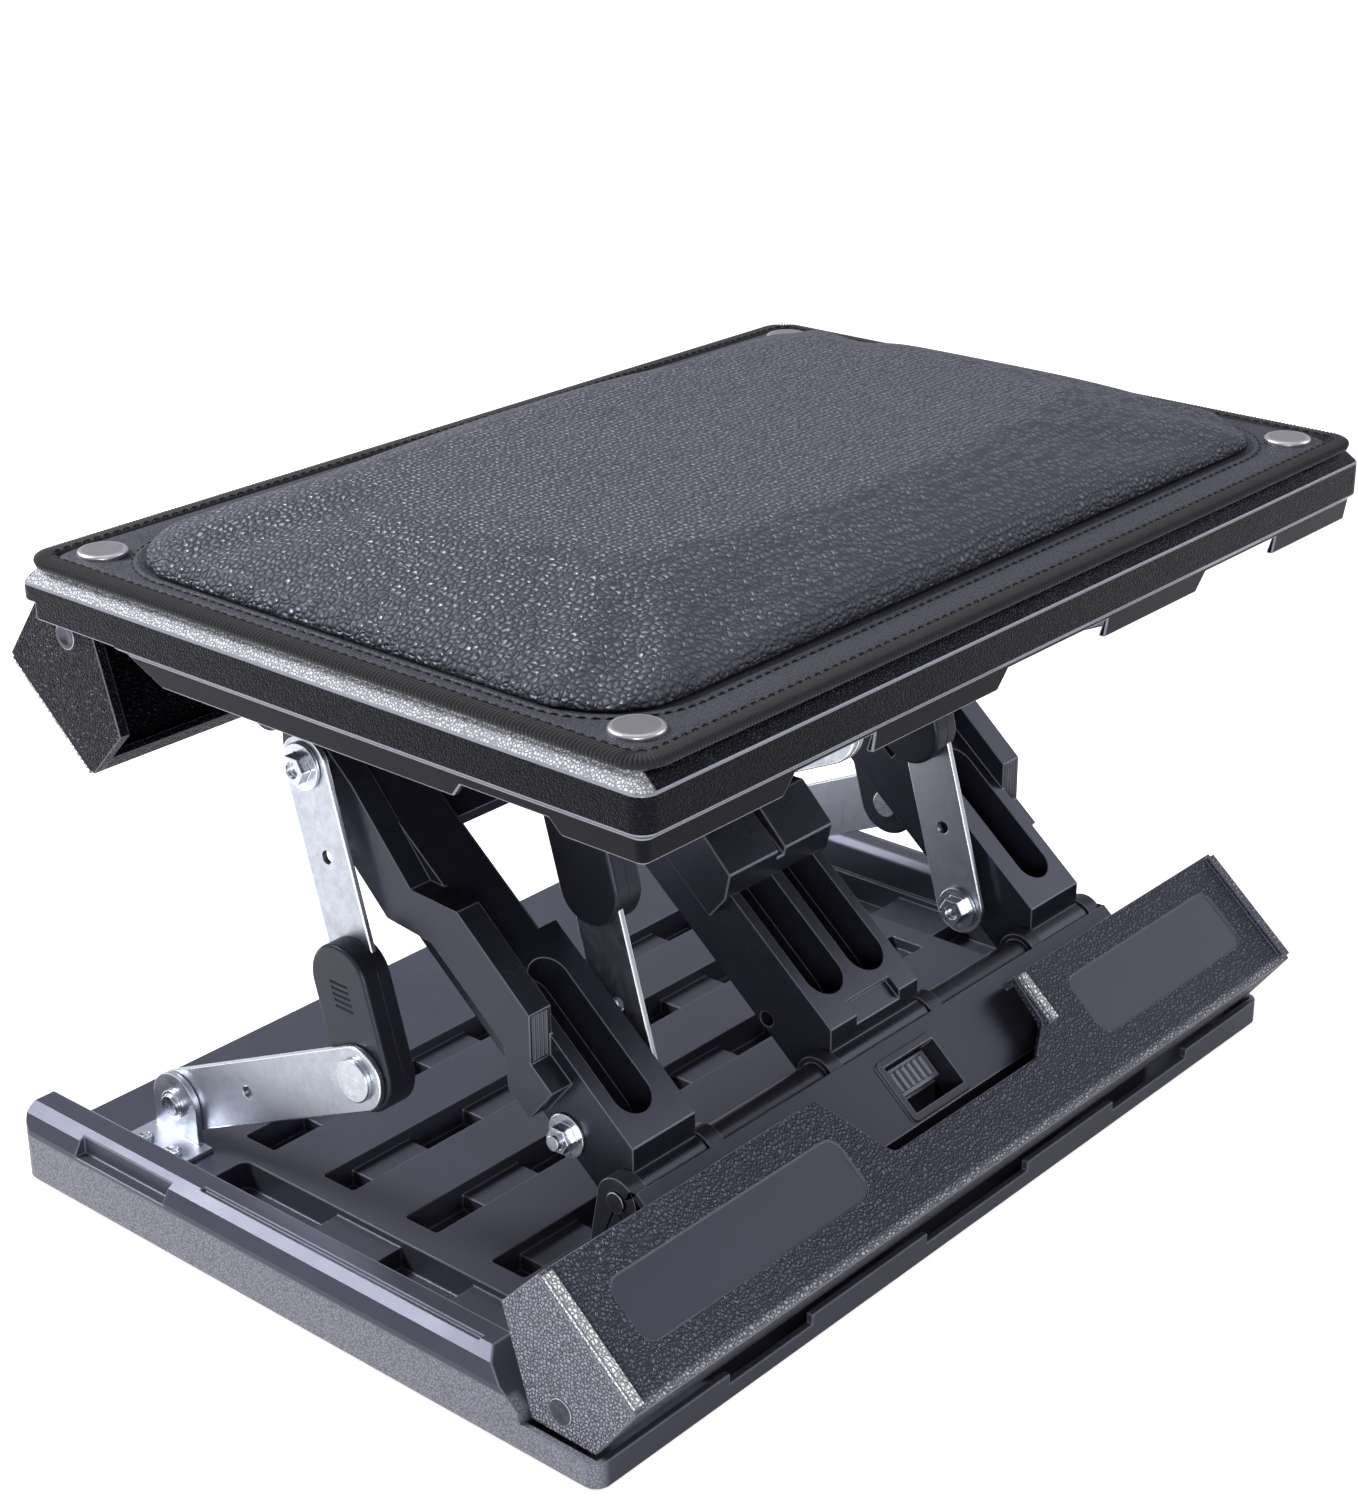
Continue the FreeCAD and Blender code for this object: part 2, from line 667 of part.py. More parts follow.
def rod_sleeves():
    # Tubes that hide the rod between the ears of the middle post and of the outer ones.
    hinge = (HINGE_Y, HINGE_Z)
    start = MIDDLE_POST_HALF + FACE_GAP + EAR_WIDTH - 0.5
    end = OUTER_POST_X[0] - FACE_GAP - EAR_WIDTH + 0.5
    sleeves = []
    for x0, x1 in ((start, end), (-end, -start)):
        tube = rod(ROD_R + SLEEVE_WALL, x0, x1, hinge)
        sleeves.append(cut(tube, [rod(ROD_R + FIT, x0 - 1.0, x1 + 1.0, hinge)]))
    return sleeves


def post_relief():
    # Room round the feet of the posts in what stands between the ears.
    room = KNUCKLE_R + KNUCKLE_ROOM
    inner, outer = OUTER_POST_X
    spans = ((-MIDDLE_POST_HALF, MIDDLE_POST_HALF), (inner, outer), (-outer, -inner))
    return [rod(room, x0 - FACE_GAP, x1 + FACE_GAP, (HINGE_Y, HINGE_Z)) for x0, x1 in spans]


def latch():
    half = LATCH_WIDTH / 2.0
    button = flap_slab(-half, half, LATCH_BOTTOM, LATCH_TOP, LATCH_BACK, LATCH_FACE)
    lip = flap_slab(-half - LATCH_LIP, half + LATCH_LIP, LATCH_BOTTOM - 1.0, LATCH_TOP,
                    LATCH_LIP_OFF - LATCH_LIP_THICK, LATCH_LIP_OFF)
    ridges = []
    pitch = (LATCH_WIDTH - 2.0 * RIDGE_MARGIN) / LATCH_RIDGES
    for k in range(LATCH_RIDGES):
        x = -half + RIDGE_MARGIN + (k + 0.5) * pitch
        ridges.append(flap_slab(x - RIDGE_WIDTH / 2.0, x + RIDGE_WIDTH / 2.0,
                                LATCH_BOTTOM + RIDGE_INSET, LATCH_TOP - RIDGE_INSET,
                                LATCH_FACE - 0.5, LATCH_FACE + RIDGE_HEIGHT))
    return fuse([button, lip] + ridges)


def hinge_rod():
    half = OUTER_POST_X[1] + FACE_GAP + EAR_WIDTH + ROD_OVERHANG
    return rod(ROD_R, -half, half, (HINGE_Y, HINGE_Z))


# Flap: a sloping face with a short lip, a lower plate and two end plates
def from_pin(step):
    return (FLAP_PIN_Y + step[0], FLAP_PIN_Z + step[1])


def flap_body():
    back = FLAP_OFF - FLAP_THICK
    top = on_flap(FLAP_TOP, FLAP_OFF)
    low = on_flap(FLAP_BOTTOM, FLAP_OFF)
    heel = from_pin(FLAP_HEEL)
    face = flap_slab(-FLAP_HALF, FLAP_HALF, FLAP_BOTTOM, FLAP_TOP, back, FLAP_OFF)
    lip = flap_slab(-FLAP_HALF, FLAP_HALF, FLAP_TOP - FLAP_THICK, FLAP_TOP,
                    FLAP_OFF - FLAP_LIP_DEPTH, FLAP_OFF)
    plate = side_prism([low, on_flap(FLAP_BOTTOM + FLAP_THICK, FLAP_OFF),
                        (heel[0] + FLAP_THICK, heel[1]), heel], -FLAP_HALF, FLAP_HALF)
    outline = [top, low, heel, from_pin(FLAP_TOE), from_pin(FLAP_REAR)]
    ends = [side_prism(outline, -FLAP_HALF, -FLAP_HALF + FLAP_SIDE_THICK),
            side_prism(outline, FLAP_HALF - FLAP_SIDE_THICK, FLAP_HALF)]
    low_off = FLAP_OFF - 0.5
    high_off = FLAP_OFF + BEAD_HEIGHT
    beads = []
    for x in (-FLAP_HALF, FLAP_HALF - FLAP_BEAD):
        beads.append(flap_slab(x, x + FLAP_BEAD, FLAP_BOTTOM + BEAD_MARGIN, FLAP_TOP - BEAD_MARGIN,
                               low_off, high_off))
    beads.append(flap_slab(CUTOUT_BEAD_X, CUTOUT_BEAD_X + FLAP_BEAD, CUTOUT_BEAD_START,
                           FLAP_TOP - 1.0, low_off, high_off))
    return fuse([face, lip, plate] + ends + beads)


def flap_cutout():
    # The opening in the middle, through which the latch is reached.
    first = CUTOUT[0]
    last = CUTOUT[-1]
    edge = ((first[0], FLAP_TOP + LUG_WIDTH),) + CUTOUT + ((last[0], FLAP_TOP + LUG_WIDTH),)
    corners = []
    for x, u in edge:
        y, z = on_flap(u, FLAP_OFF - CUTOUT_DEPTH + 3.0)
        corners.append(vec(x, y, z))
    plate = Part.Face(Part.makePolygon(corners + corners[:1]))
    opening = plate.extrude(flap_normal() * CUTOUT_DEPTH)
    return soften(opening, CUTOUT_CORNER_R, flap_normal(), [x for x, u in CUTOUT[1:-1]])


def flap():
    high_off = FLAP_OFF + 2.0 * BEAD_HEIGHT
    floor = FLAP_OFF - FLAP_PANEL_DEPTH
    panels = [flap_slab(-FLAP_HALF + LEFT_PANEL_INSET[0], -FLAP_HALF + LEFT_PANEL_INSET[1],
                        FLAP_PANEL_BOTTOM, LEFT_PANEL_TOP, floor, high_off),
              flap_slab(FLAP_HALF - RIGHT_PANEL_INSET[1], FLAP_HALF - RIGHT_PANEL_INSET[0],
                        FLAP_PANEL_BOTTOM, RIGHT_PANEL_TOP, floor, high_off)]
    cuts = [flap_cutout()]
    cuts += [soften(panel, FLAP_PANEL_CORNER_R, flap_normal()) for panel in panels]
    pin = (FLAP_PIN_Y, FLAP_PIN_Z)
    cuts.append(rod(FLAP_PIN_R + RUN_FIT, -HALF_W, HALF_W, pin))
    for side in (-1.0, 1.0):
        x0 = side * (FLAP_HALF - PIN_HEAD_SEAT)
        cuts.append(rod(FLAP_HEAD_R + RUN_FIT, x0, side * HALF_W, pin))
    return cut(flap_body(), cuts)


def flap_pins():
    pins = []
    pin = (FLAP_PIN_Y, FLAP_PIN_Z)
    inside = FLAP_HALF - FLAP_SIDE_THICK - FACE_GAP - LUG_WIDTH
    for side in (-1.0, 1.0):
        seat = side * (FLAP_HALF - PIN_HEAD_SEAT)
        outer = FLAP_HALF + PIN_HEAD_PROUD
        shaft = rod(FLAP_PIN_R, side * inside, seat + side * 0.5, pin)
        head = rod(FLAP_HEAD_R, seat, side * outer, pin)
        dish = Part.makeSphere(PIN_DISH_R, vec(side * (outer + PIN_DISH_R - 0.7), pin[0], pin[1]))
        pins.append(cut(fuse([shaft, head]), [dish]))
    return pins


# Support frame: three leaning posts, side rails with a raised middle, a cross beam
def post_body(x0, x1):
    half = POST_THICK / 2.0
    foot = on_post(FOOT_START, half)
    head = half_turned_point(foot)
    near = on_post(POST_LENGTH - HEEL_DROP, half)
    far = half_turned_point(near)
    side = [foot, near, on_post(POST_LENGTH + HEEL_RISE, HEEL_OFF), (head[0], TOP_HINGE[1]), head,
            far, on_post(-HEEL_RISE, -HEEL_OFF), (foot[0], HINGE_Z)]
    ends = [rod(KNUCKLE_R, x0, x1, (HINGE_Y, HINGE_Z)), rod(KNUCKLE_R, x0, x1, TOP_HINGE)]
    return fuse([side_prism(side, x0, x1)] + ends)


def rail():
    # Low at both ends, raised in the middle, with flutes on the short steep step.
    x1 = -OUTER_POST_X[1]
    x0 = -RAIL_X
    step = STEP_START + STEP_RUN
    shoulder = POST_LENGTH - SHOULDER_DROP
    bend = POST_LENGTH - RAIL_BEND_DROP
    end = POST_LENGTH - RAIL_END_DROP
    upper = RAIL_HALF_LOW - RAIL_LEAN
    lower = -RAIL_HALF_LOW - RAIL_LEAN
    low = on_post(STEP_START, upper)
    high = on_post(step, RAIL_RISE)
    side = [on_post(RAIL_START, upper), low, high, on_post(shoulder, RAIL_RISE + RAIL_LEAN),
            on_post(shoulder + SHOULDER_RUN, SHOULDER_OFF), on_post(bend, RAIL_TOP_OFF),
            on_post(end, RAIL_TOP_OFF + RAIL_LEAN), on_post(end, -RAIL_END_LOW),
            on_post(shoulder + SHOULDER_RUN, lower), on_post(shoulder, RAIL_UNDER),
            on_post(step, RAIL_UNDER), on_post(STEP_START, lower), on_post(RAIL_START, lower)]
    body = side_prism(side, x0, x1 + FLUTE_WIDTH)
    grooves = []
    for k in range(FLUTE_COUNT):
        x = x0 + (k + 1) * RAIL_WIDTH / (FLUTE_COUNT + 1)
        corners = [(low[0] - FLUTE_WIDTH, low[1] + FLUTE_WIDTH),
                   (low[0] + FLUTE_DEPTH, low[1] + FLUTE_WIDTH),
                   (high[0] + FLUTE_DEPTH, high[1] - FLUTE_WIDTH),
                   (high[0] - FLUTE_WIDTH, high[1] - FLUTE_WIDTH)]
        grooves.append(side_prism(corners, x - FLUTE_WIDTH / 2.0, x + FLUTE_WIDTH / 2.0))
    return cut(body, grooves)


def outer_post():
    inner, outer = OUTER_POST_X
    body = post_body(-outer, -inner)
    waist = slab_on_post(-inner - WAIST_DEPTH, -inner + 1.0, POST_LENGTH - WAIST_START_DROP,
                         POST_LENGTH - WAIST_END_DROP, WAIST_OFF, POST_THICK)
    pocket = post_slot(-outer + OUTER_POCKET_RIM + OUTER_POCKET_R, OUTER_POCKET_R,
                       OUTER_POCKET_START, POST_LENGTH - OUTER_POCKET_DROP)
    return cut(fuse([body, rail()]), [waist, pocket])


def middle_post():
    half = MIDDLE_POST_HALF
    body = post_body(-half, half)
    cuts = []
    for side in (-1.0, 1.0):
        middle = side * (MIDDLE_RIB / 2.0 + MIDDLE_POCKET_R)
        cuts.append(post_slot(middle, MIDDLE_POCKET_R, MIDDLE_POCKET_START, MIDDLE_POCKET_END))
    cuts.append(slab_on_post(TOE_NOTCH[0], TOE_NOTCH[1], TOE_NOTCH_START, TOE_NOTCH_END,
                             POST_THICK / 2.0 - TOE_NOTCH_DEPTH, POST_THICK))
    return cut(body, cuts)


def support_frame():
    inner = OUTER_POST_X[0]
    post = outer_post()
    beam = slab_on_post(-inner - 1.0, inner + 1.0, POST_LENGTH - BEAM_START_DROP,
                        POST_LENGTH - BEAM_END_DROP, BEAM_OFF - BEAM_THICK, BEAM_OFF)
    body = fuse([post, mirrored(post), middle_post(), beam])
    bores = [rod(ROD_R + RUN_FIT, -HALF_W, HALF_W, (HINGE_Y, HINGE_Z)),
             rod(ROD_R + RUN_FIT, -HALF_W, HALF_W, TOP_HINGE)]
    for place in (BOLT, half_turned_point(BOLT)):
        bores.append(rod(BOLT_R + FIT, -HALF_W, HALF_W, place))
    return cut(body, bores)


def centre_cap():
    # The faceted clamp block across the middle post.
    half = MIDDLE_POST_HALF + CAP_CHEEK
    base = POST_THICK / 2.0
    side = [on_post(CAP_START, base), on_post(CAP_START + CAP_SLOPE_LOW, base + CAP_RISE),
            on_post(CAP_END - CAP_SLOPE_HIGH, base + CAP_CROWN), on_post(CAP_END, base)]
    block = side_prism(side, -half, half)
    cheeks = []
    for x in (-half, MIDDLE_POST_HALF + FIT):
        cheeks.append(slab_on_post(x, x + CAP_CHEEK - FIT, CAP_START, CAP_END, base - CAP_GRIP,
                                   base))
    groove = slab_on_post(-CAP_GROOVE / 2.0, CAP_GROOVE / 2.0, CAP_START - 1.0, CAP_END + 1.0,
                          base + CAP_GROOVE_OFF, base + CAP_CROWN + 1.0)
    return cut(fuse([block] + cheeks), [groove])


# Linkage pieces. Each is made for one side from the pivot, knee and bolt
# places and a function that gives X for a distance from the mounting face.
ARM_PIVOT = (HINGE_Y + LINK_REACH, ARM_PIVOT_Z)
KNEE = (HINGE_Y + KNEE_SHARE * LINK_REACH, KNEE_Z)
BOLT = on_post(POST_LENGTH - BOLT_DROP, BOLT_OFF)


def outwards(face, side):
    return lambda d: face + side * d


def capsule(a, b, radius, x0, x1):
    # A plate with round ends about the points a and b.
    low = min(x0, x1)
    high = max(x0, x1)
    length = math.hypot(b[0] - a[0], b[1] - a[1])
    across = (-(b[1] - a[1]) / length * radius, (b[0] - a[0]) / length * radius)
    side = [(a[0] + across[0], a[1] + across[1]), (a[0] - across[0], a[1] - across[1]),
            (b[0] - across[0], b[1] - across[1]), (b[0] + across[0], b[1] + across[1])]
    return fuse([side_prism(side, low, high), rod(radius, low, high, a), rod(radius, low, high, b)])


def along(a, b, distance, off=0.0):
    length = math.hypot(b[0] - a[0], b[1] - a[1])
    u = ((b[0] - a[0]) / length, (b[1] - a[1]) / length)
    return (a[0] + u[0] * distance - u[1] * off, a[1] + u[1] * distance + u[0] * off)


def strap(a, b, radius, x0, x1):
    # A steel plate with round ends and broken edges.
    plate = capsule(a, b, radius, x0, x1)
    edges = [e for e in plate.Edges if abs(e.BoundBox.XLength) < 0.01]
    return plate.makeChamfer(STEEL_EDGE, edges)


def arm(x, pivot, knee):
    plate = strap(pivot, knee, ARM_R, x(ARM_AT), x(ARM_END))
    low = x(ARM_AT - 1.0)
    high = x(ARM_END + 1.0)
    bores = [rod(PIVOT_R + RUN_FIT, low, high, pivot),
             rod(KNEE_SHAFT_R + FIT, low, high, knee),
             rod(LINK_HOLE_R, low, high, between(pivot, knee, ARM_HOLE_SHARE))]
    return cut(plate, bores)


def strut(x, knee, bolt):
    plate = strap(knee, bolt, STRUT_R, x(STRUT_AT), x(STRUT_AT + STEEL_THICK))
    low = x(STRUT_AT - 1.0)
    high = x(STRUT_AT + STEEL_THICK + 1.0)
    bores = [rod(KNEE_SHAFT_R + RUN_FIT, low, high, knee),
             rod(BOLT_R + BOLT_PLAY, low, high, bolt),
             rod(LINK_HOLE_R, low, high, between(knee, bolt, STRUT_HOLE_SHARE))]
    return cut(plate, bores)


def cover_half(x, knee, bolt, d0, d1):
    end = along(knee, bolt, COVER_LENGTH)
    half = capsule(knee, end, COVER_R, x(d0), x(d1))
    outer = x(COVER_AT) if d0 == COVER_AT else x(COVER_END)
    edges = [e for e in half.Edges
             if abs(e.BoundBox.XMin - outer) < 0.01 and abs(e.BoundBox.XMax - outer) < 0.01]
    return half.makeFillet(COVER_EDGE_R, edges)


def inner_cover(x, knee, bolt):
    half = cover_half(x, knee, bolt, COVER_AT, COVER_SPLIT)
    play = SOFT_GAP / 2.0
    slot = capsule(knee, bolt, STRUT_R + SOFT_GAP, x(STRUT_AT - play),
                   x(STRUT_AT + STEEL_THICK + play))
    bore = rod(KNEE_SHAFT_R + RUN_FIT, x(0.0), x(COVER_END), knee)
    return cut(half, [slot, bore])


def outer_cover(x, knee, bolt):
    half = cover_half(x, knee, bolt, COVER_SPLIT, COVER_END)
    low = x(COVER_SPLIT - 1.0)
    roof = x(COVER_END - COVER_FACE)
    room = rod(WHEEL_R + 2.0 * SOFT_GAP, low, roof, knee)
    cell = capsule(knee, along(knee, bolt, COVER_LENGTH - CELL_END), CELL_R, low, roof)
    bore = rod(HUB_R + RUN_FIT, x(COVER_SPLIT), x(COVER_END + 1.0), knee)
    post = rod(PAWL_POST_R, x(COVER_SPLIT), x(COVER_END - 1.0),
               along(knee, bolt, PAWL_AT, PAWL_POST_OFF))
    low_x = min(x(COVER_END - DASH_DEPTH), x(COVER_END + 1.0))
    high_x = max(x(COVER_END - DASH_DEPTH), x(COVER_END + 1.0))
    dashes = []
    for k in range(DASH_COUNT):
        y, z = along(knee, bolt, DASH_START + DASH_PITCH * k)
        dashes.append(box(low_x, high_x, y - DASH_LENGTH / 2.0, y + DASH_LENGTH / 2.0,
                          z - DASH_WIDTH / 2.0, z + DASH_WIDTH / 2.0))
    return fuse([cut(half, [room, cell, bore] + dashes), post])


def ratchet_wheel(x, knee, bolt):
    # Saw teeth round the knee; the hub reaches through the cover to the arm.
    points = []
    turn = 2.0 * math.pi / WHEEL_TEETH
    root = WHEEL_R - TOOTH_DEPTH
    for k in range(WHEEL_TEETH):
        a = turn * k
        b = a + turn * TOOTH_SHARE
        points.append((knee[0] + root * math.cos(a), knee[1] + root * math.sin(a)))
        points.append((knee[0] + WHEEL_R * math.cos(b), knee[1] + WHEEL_R * math.sin(b)))
    roof = COVER_END - COVER_FACE - SOFT_GAP
    wheel = side_prism(points, x(COVER_SPLIT + SOFT_GAP), x(roof))
    hub = rod(HUB_R, x(roof - 1.0), x(ARM_AT), knee)
    bore = rod(KNEE_SHAFT_R + FIT, x(0.0), x(ARM_END), knee)
    return cut(fuse([wheel, hub]), [bore])


def pawl(x, knee, bolt):
    # A hooked dog on its post, its nose just clear of the tooth tips.
    nose = WHEEL_R + PAWL_NOSE_GAP
    half = PAWL_POST_R
    side = [along(knee, bolt, nose, 0.75 * half), along(knee, bolt, nose + half, -0.75 * half),
            along(knee, bolt, PAWL_AT - half, -2.6 * half),
            along(knee, bolt, PAWL_AT + 1.5 * half, -2.0 * half),
            along(knee, bolt, PAWL_AT + 1.5 * half, 0.6 * half),
            along(knee, bolt, PAWL_AT - 2.0 * half, 1.25 * half)]
    roof = COVER_END - COVER_FACE - SOFT_GAP
    body = side_prism(side, x(COVER_SPLIT + SOFT_GAP), x(roof))
    hole = rod(PAWL_POST_R + FIT, x(COVER_SPLIT), x(COVER_END),
               along(knee, bolt, PAWL_AT, PAWL_POST_OFF))
    return cut(body, [hole])


def knee_rivet(x, knee):
    foot_end = COVER_AT - 0.2
    top = ARM_END + KNEE_HEAD_THICK
    shaft = rod(KNEE_SHAFT_R, x(foot_end - 0.5), x(ARM_END + 1.0), knee)
    head = rod(KNEE_HEAD_R, x(ARM_END), x(top), knee)
    edges = [e for e in head.Edges if abs(e.BoundBox.XMin - x(top)) < 0.01]
    head = head.makeFillet(KNEE_HEAD_EDGE, edges)
    foot = rod(KNEE_FOOT_R, x(foot_end - KNEE_FOOT_THICK), x(foot_end), knee)
    return fuse([shaft, head, foot])


def pivot_rivet(x, pivot):
    foot_end = ARM_AT - 0.2
    head_end = EAR_END + PIVOT_HEAD_THICK
    shaft = rod(PIVOT_R, x(foot_end - 1.0), x(EAR_END + 0.5), pivot)
    head = rod(PIVOT_HEAD_R, x(EAR_END), x(head_end), pivot)
    stub = rod(PIVOT_STUB_R, x(head_end - 0.5), x(head_end + PIVOT_STUB_THICK), pivot)
    foot = rod(PIVOT_HEAD_R, x(foot_end - PIVOT_HEAD_THICK), x(foot_end), pivot)
    return fuse([shaft, head, stub, foot])


def bracket(x, pivot):
    # An angle bracket: a foot on the deck and an upright ear for the arm.
    y0 = pivot[0] - BRACKET_LEAD
    y1 = y0 + BRACKET_LENGTH
    near = x(EAR_AT)
    ear_end = x(EAR_END)
    foot_end = x(EAR_END + BRACKET_FOOT)
    foot = box(min(near, foot_end), max(near, foot_end), y0, y1, DECK_HEIGHT,
               DECK_HEIGHT + BRACKET_FOOT_THICK)
    low = min(near, ear_end)
    high = max(near, ear_end)
    web = box(low, high, pivot[0] - ARM_R, pivot[0] + ARM_R, DECK_HEIGHT, pivot[1])
    ear = fuse([web, rod(ARM_R, low, high, pivot)])
    holes = [rod(PIVOT_R + FIT, x(ARM_AT), x(EAR_END + 1.0), pivot)]
    for sx, sy in screw_places(x, pivot):
        holes.append(upright(SCREW_R + FIT, sx, sy, DECK_HEIGHT - 1.0,
                             DECK_HEIGHT + BRACKET_FOOT_THICK + 1.0))
    return cut(fuse([foot, ear]), holes)


def screw_places(x, pivot):
    return [(x(EAR_END + SCREW_AT), pivot[0] + step) for step in SCREWS_AT]


def screw(x, y):
    top = DECK_HEIGHT + BRACKET_FOOT_THICK
    head_top = top + SCREW_HEAD_THICK
    shaft = upright(SCREW_R, x, y, DECK_HEIGHT - SCREW_LENGTH, top + 0.5)
    head = upright(SCREW_HEAD_R, x, y, top, head_top)
    edges = [e for e in head.Edges if abs(e.BoundBox.ZMin - head_top) < 0.01]
    head = head.makeFillet(SCREW_HEAD_EDGE, edges)
    w = SCREW_SLOT_WIDTH / 2.0
    h = SCREW_SLOT_LENGTH / 2.0
    floor = head_top - SCREW_SLOT_DEPTH
    slots = [box(x - h, x + h, y - w, y + w, floor, head_top + 1.0),
             box(x - w, x + w, y - h, y + h, floor, head_top + 1.0)]
    return cut(fuse([shaft, head]), slots)


def lower_maps():
    return (outwards(-RAIL_X, -1.0), outwards(RAIL_X, 1.0))


def upper_maps():
    inner = OUTER_POST_X[0]
    return (outwards(-inner, 1.0), outwards(inner, -1.0))


def screw_holes(maps):
    holes = []
    for x in maps:
        for sx, sy in screw_places(x, ARM_PIVOT):
            holes.append(upright(SCREW_R + FIT, sx, sy, DECK_HEIGHT - SCREW_LENGTH - 1.0,
                                 DECK_HEIGHT + 1.0))
    return holes


def frame_bolt(x, place, grip):
    # A flange bolt through the post; the strut swings on it with play.
    flange_at = STRUT_AT + STEEL_THICK + SOFT_GAP
    head_at = flange_at + FLANGE_THICK
    head_end = head_at + HEX_THICK - SOFT_GAP
    shaft = rod(BOLT_R, x(-grip - BOLT_TAIL), x(flange_at + 1.0), place)
    flange = rod(FLANGE_R, x(flange_at), x(head_at), place)
    head = hex_prism(HEX_R, x(head_at - SOFT_GAP), x(head_end), place)
    socket = rod(BOLT_SOCKET_R, x(head_end - BOLT_SOCKET_DEPTH), x(head_end + 1.0), place)
    return cut(fuse([shaft, flange, head]), [socket])


def bolt_spacer(x, place):
    washer_end = STRUT_AT - SOFT_GAP
    sleeve = rod(SPACER_R, x(0.0), x(washer_end - 1.0), place)
    washer = rod(FLANGE_R, x(washer_end - WASHER_THICK), x(washer_end), place)
    return cut(fuse([sleeve, washer]), [rod(BOLT_R + FIT, x(-1.0), x(STRUT_AT + 1.0), place)])


def bolt_nut(x, place, grip):
    washer = rod(NUT_WASHER_R, x(-grip - WASHER_THICK), x(-grip), place)
    nut = hex_prism(NUT_R, x(-grip - WASHER_THICK - NUT_THICK), x(-grip - WASHER_THICK + 0.1),
                    place)
    bore = rod(BOLT_R + FIT, x(-grip - BOLT_TAIL - 1.0), x(-grip + 1.0), place)
    return cut(fuse([washer, nut]), [bore])


# Platform: a shallow box shell, open below, with the same deck inside as the base
def platform_shell():
    front = PLATFORM_FRONT
    rear = PLATFORM_REAR
    bottom = RIM_HEIGHT - PLATFORM_WALL
    band = RIM_HEIGHT - PLATFORM_BAND
    far = HALF_W + 1.0
    steps = ((PLATFORM_TAPER, bottom), (CREASE_INSET, band - CREASE_HEIGHT), (0.0, band),
             (0.0, RIM_HEIGHT - PLATFORM_RIM_CHAMFER), (PLATFORM_RIM_CHAMFER, RIM_HEIGHT))
    wires = [rounded_wire(inset, z, front, rear, SHELL_CORNER_R) for inset, z in steps]
    body = Part.makeLoft(wires, True, True)
    underside = RIM_HEIGHT - DECK_HEIGHT
    inner_steps = ((PLATFORM_TAPER + SHELL_WALL, bottom - 1.0), (SHELL_WALL, band),
                   (SHELL_WALL, underside))
    inner = [rounded_wire(inset, z, front, rear, SHELL_CORNER_R) for inset, z in inner_steps]
    cavity = Part.makeLoft(inner, True, True)
    turned_back = 2.0 * MIRROR_Y - TROUGH_BACK
    trough = box(-HALF_W + SHELL_WALL, HALF_W - SHELL_WALL, turned_back, rear - SHELL_WALL,
                 underside - 1.0, RIM_HEIGHT - DECK_SKIN)
    opening = turned_back - REAR_OPENING
    rear_low = side_prism([(opening - REAR_SLOPE, bottom - 1.0), (rear + 1.0, bottom - 1.0),
                           (rear + 1.0, band + 0.5), (opening, band + 0.5)], -far, far)
    rear_wall = box(-far, far, rear - SHELL_CORNER_R - REAR_WALL_DEPTH, rear + 1.0, bottom - 1.0,
                    RIM_HEIGHT - FRONT_WALL_HEIGHT)
    start = front + SIDE_NOTCH_START
    end = start + SIDE_NOTCH_LENGTH
    side_notch = side_prism([(start, bottom - 1.0), (end, bottom - 1.0),
                             (end - NOTCH_SLOPE, bottom + SIDE_NOTCH_HEIGHT),
                             (start + NOTCH_SLOPE, bottom + SIDE_NOTCH_HEIGHT)], -far, far)
    notches = sloped_notches(front - 1.0, front + 2.0 * SHELL_WALL + 2.0, bottom - 1.0,
                             bottom + EDGE_NOTCH_HEIGHT)
    body = cut(body, [cavity, trough, rear_low, rear_wall, side_notch] + notches)
    wells = [half_turned(w) for w in deck_wells(DECK_HEIGHT, DECK_SKIN)]
    holes = [half_turned(h) for h in screw_holes(upper_maps())]
    sockets = [upright(STUD_PLATE_R + FIT, x, y, RIM_HEIGHT - STUD_PLATE_THICK, RIM_HEIGHT + 1.0)
               for x, y in snap_places()]
    body = cut(body, wells + holes + sockets)
    return fuse([body] + [half_turned(lug) for lug in flap_lugs(DECK_SKIN)])


def snap_places():
    x = HALF_W - SNAP_INSET
    rows = (PLATFORM_FRONT + SNAP_INSET, PLATFORM_REAR - SNAP_INSET)
    return [(sx * x, y) for sx in (-1.0, 1.0) for y in rows]


def snap_caps():
    caps = []
    low = RIM_HEIGHT + BORDER_HEIGHT
    top = low + SNAP_THICK
    for x, y in snap_places():
        disc = upright(SNAP_R, x, y, low, top)
        edges = [e for e in disc.Edges if abs(e.BoundBox.ZMin - top) < 0.01]
        caps.append(disc.makeFillet(SNAP_EDGE_R, edges))
    return caps


def snap_studs():
    studs = []
    for x, y in snap_places():
        plate = upright(STUD_PLATE_R, x, y, RIM_HEIGHT - STUD_PLATE_THICK, RIM_HEIGHT)
        nose = upright(STUD_R, x, y, RIM_HEIGHT - 1.0, RIM_HEIGHT + BORDER_HEIGHT)
        studs.append(fuse([plate, nose]))
    return studs


# Cushion: a flat sewn border, drawn-in sides and a crowned top
def cushion_wire(inset, z, corner):
    return rounded_wire(inset, z, PLATFORM_FRONT + CUSHION_INSET, PLATFORM_REAR - CUSHION_INSET,
                        corner, HALF_W - CUSHION_INSET)


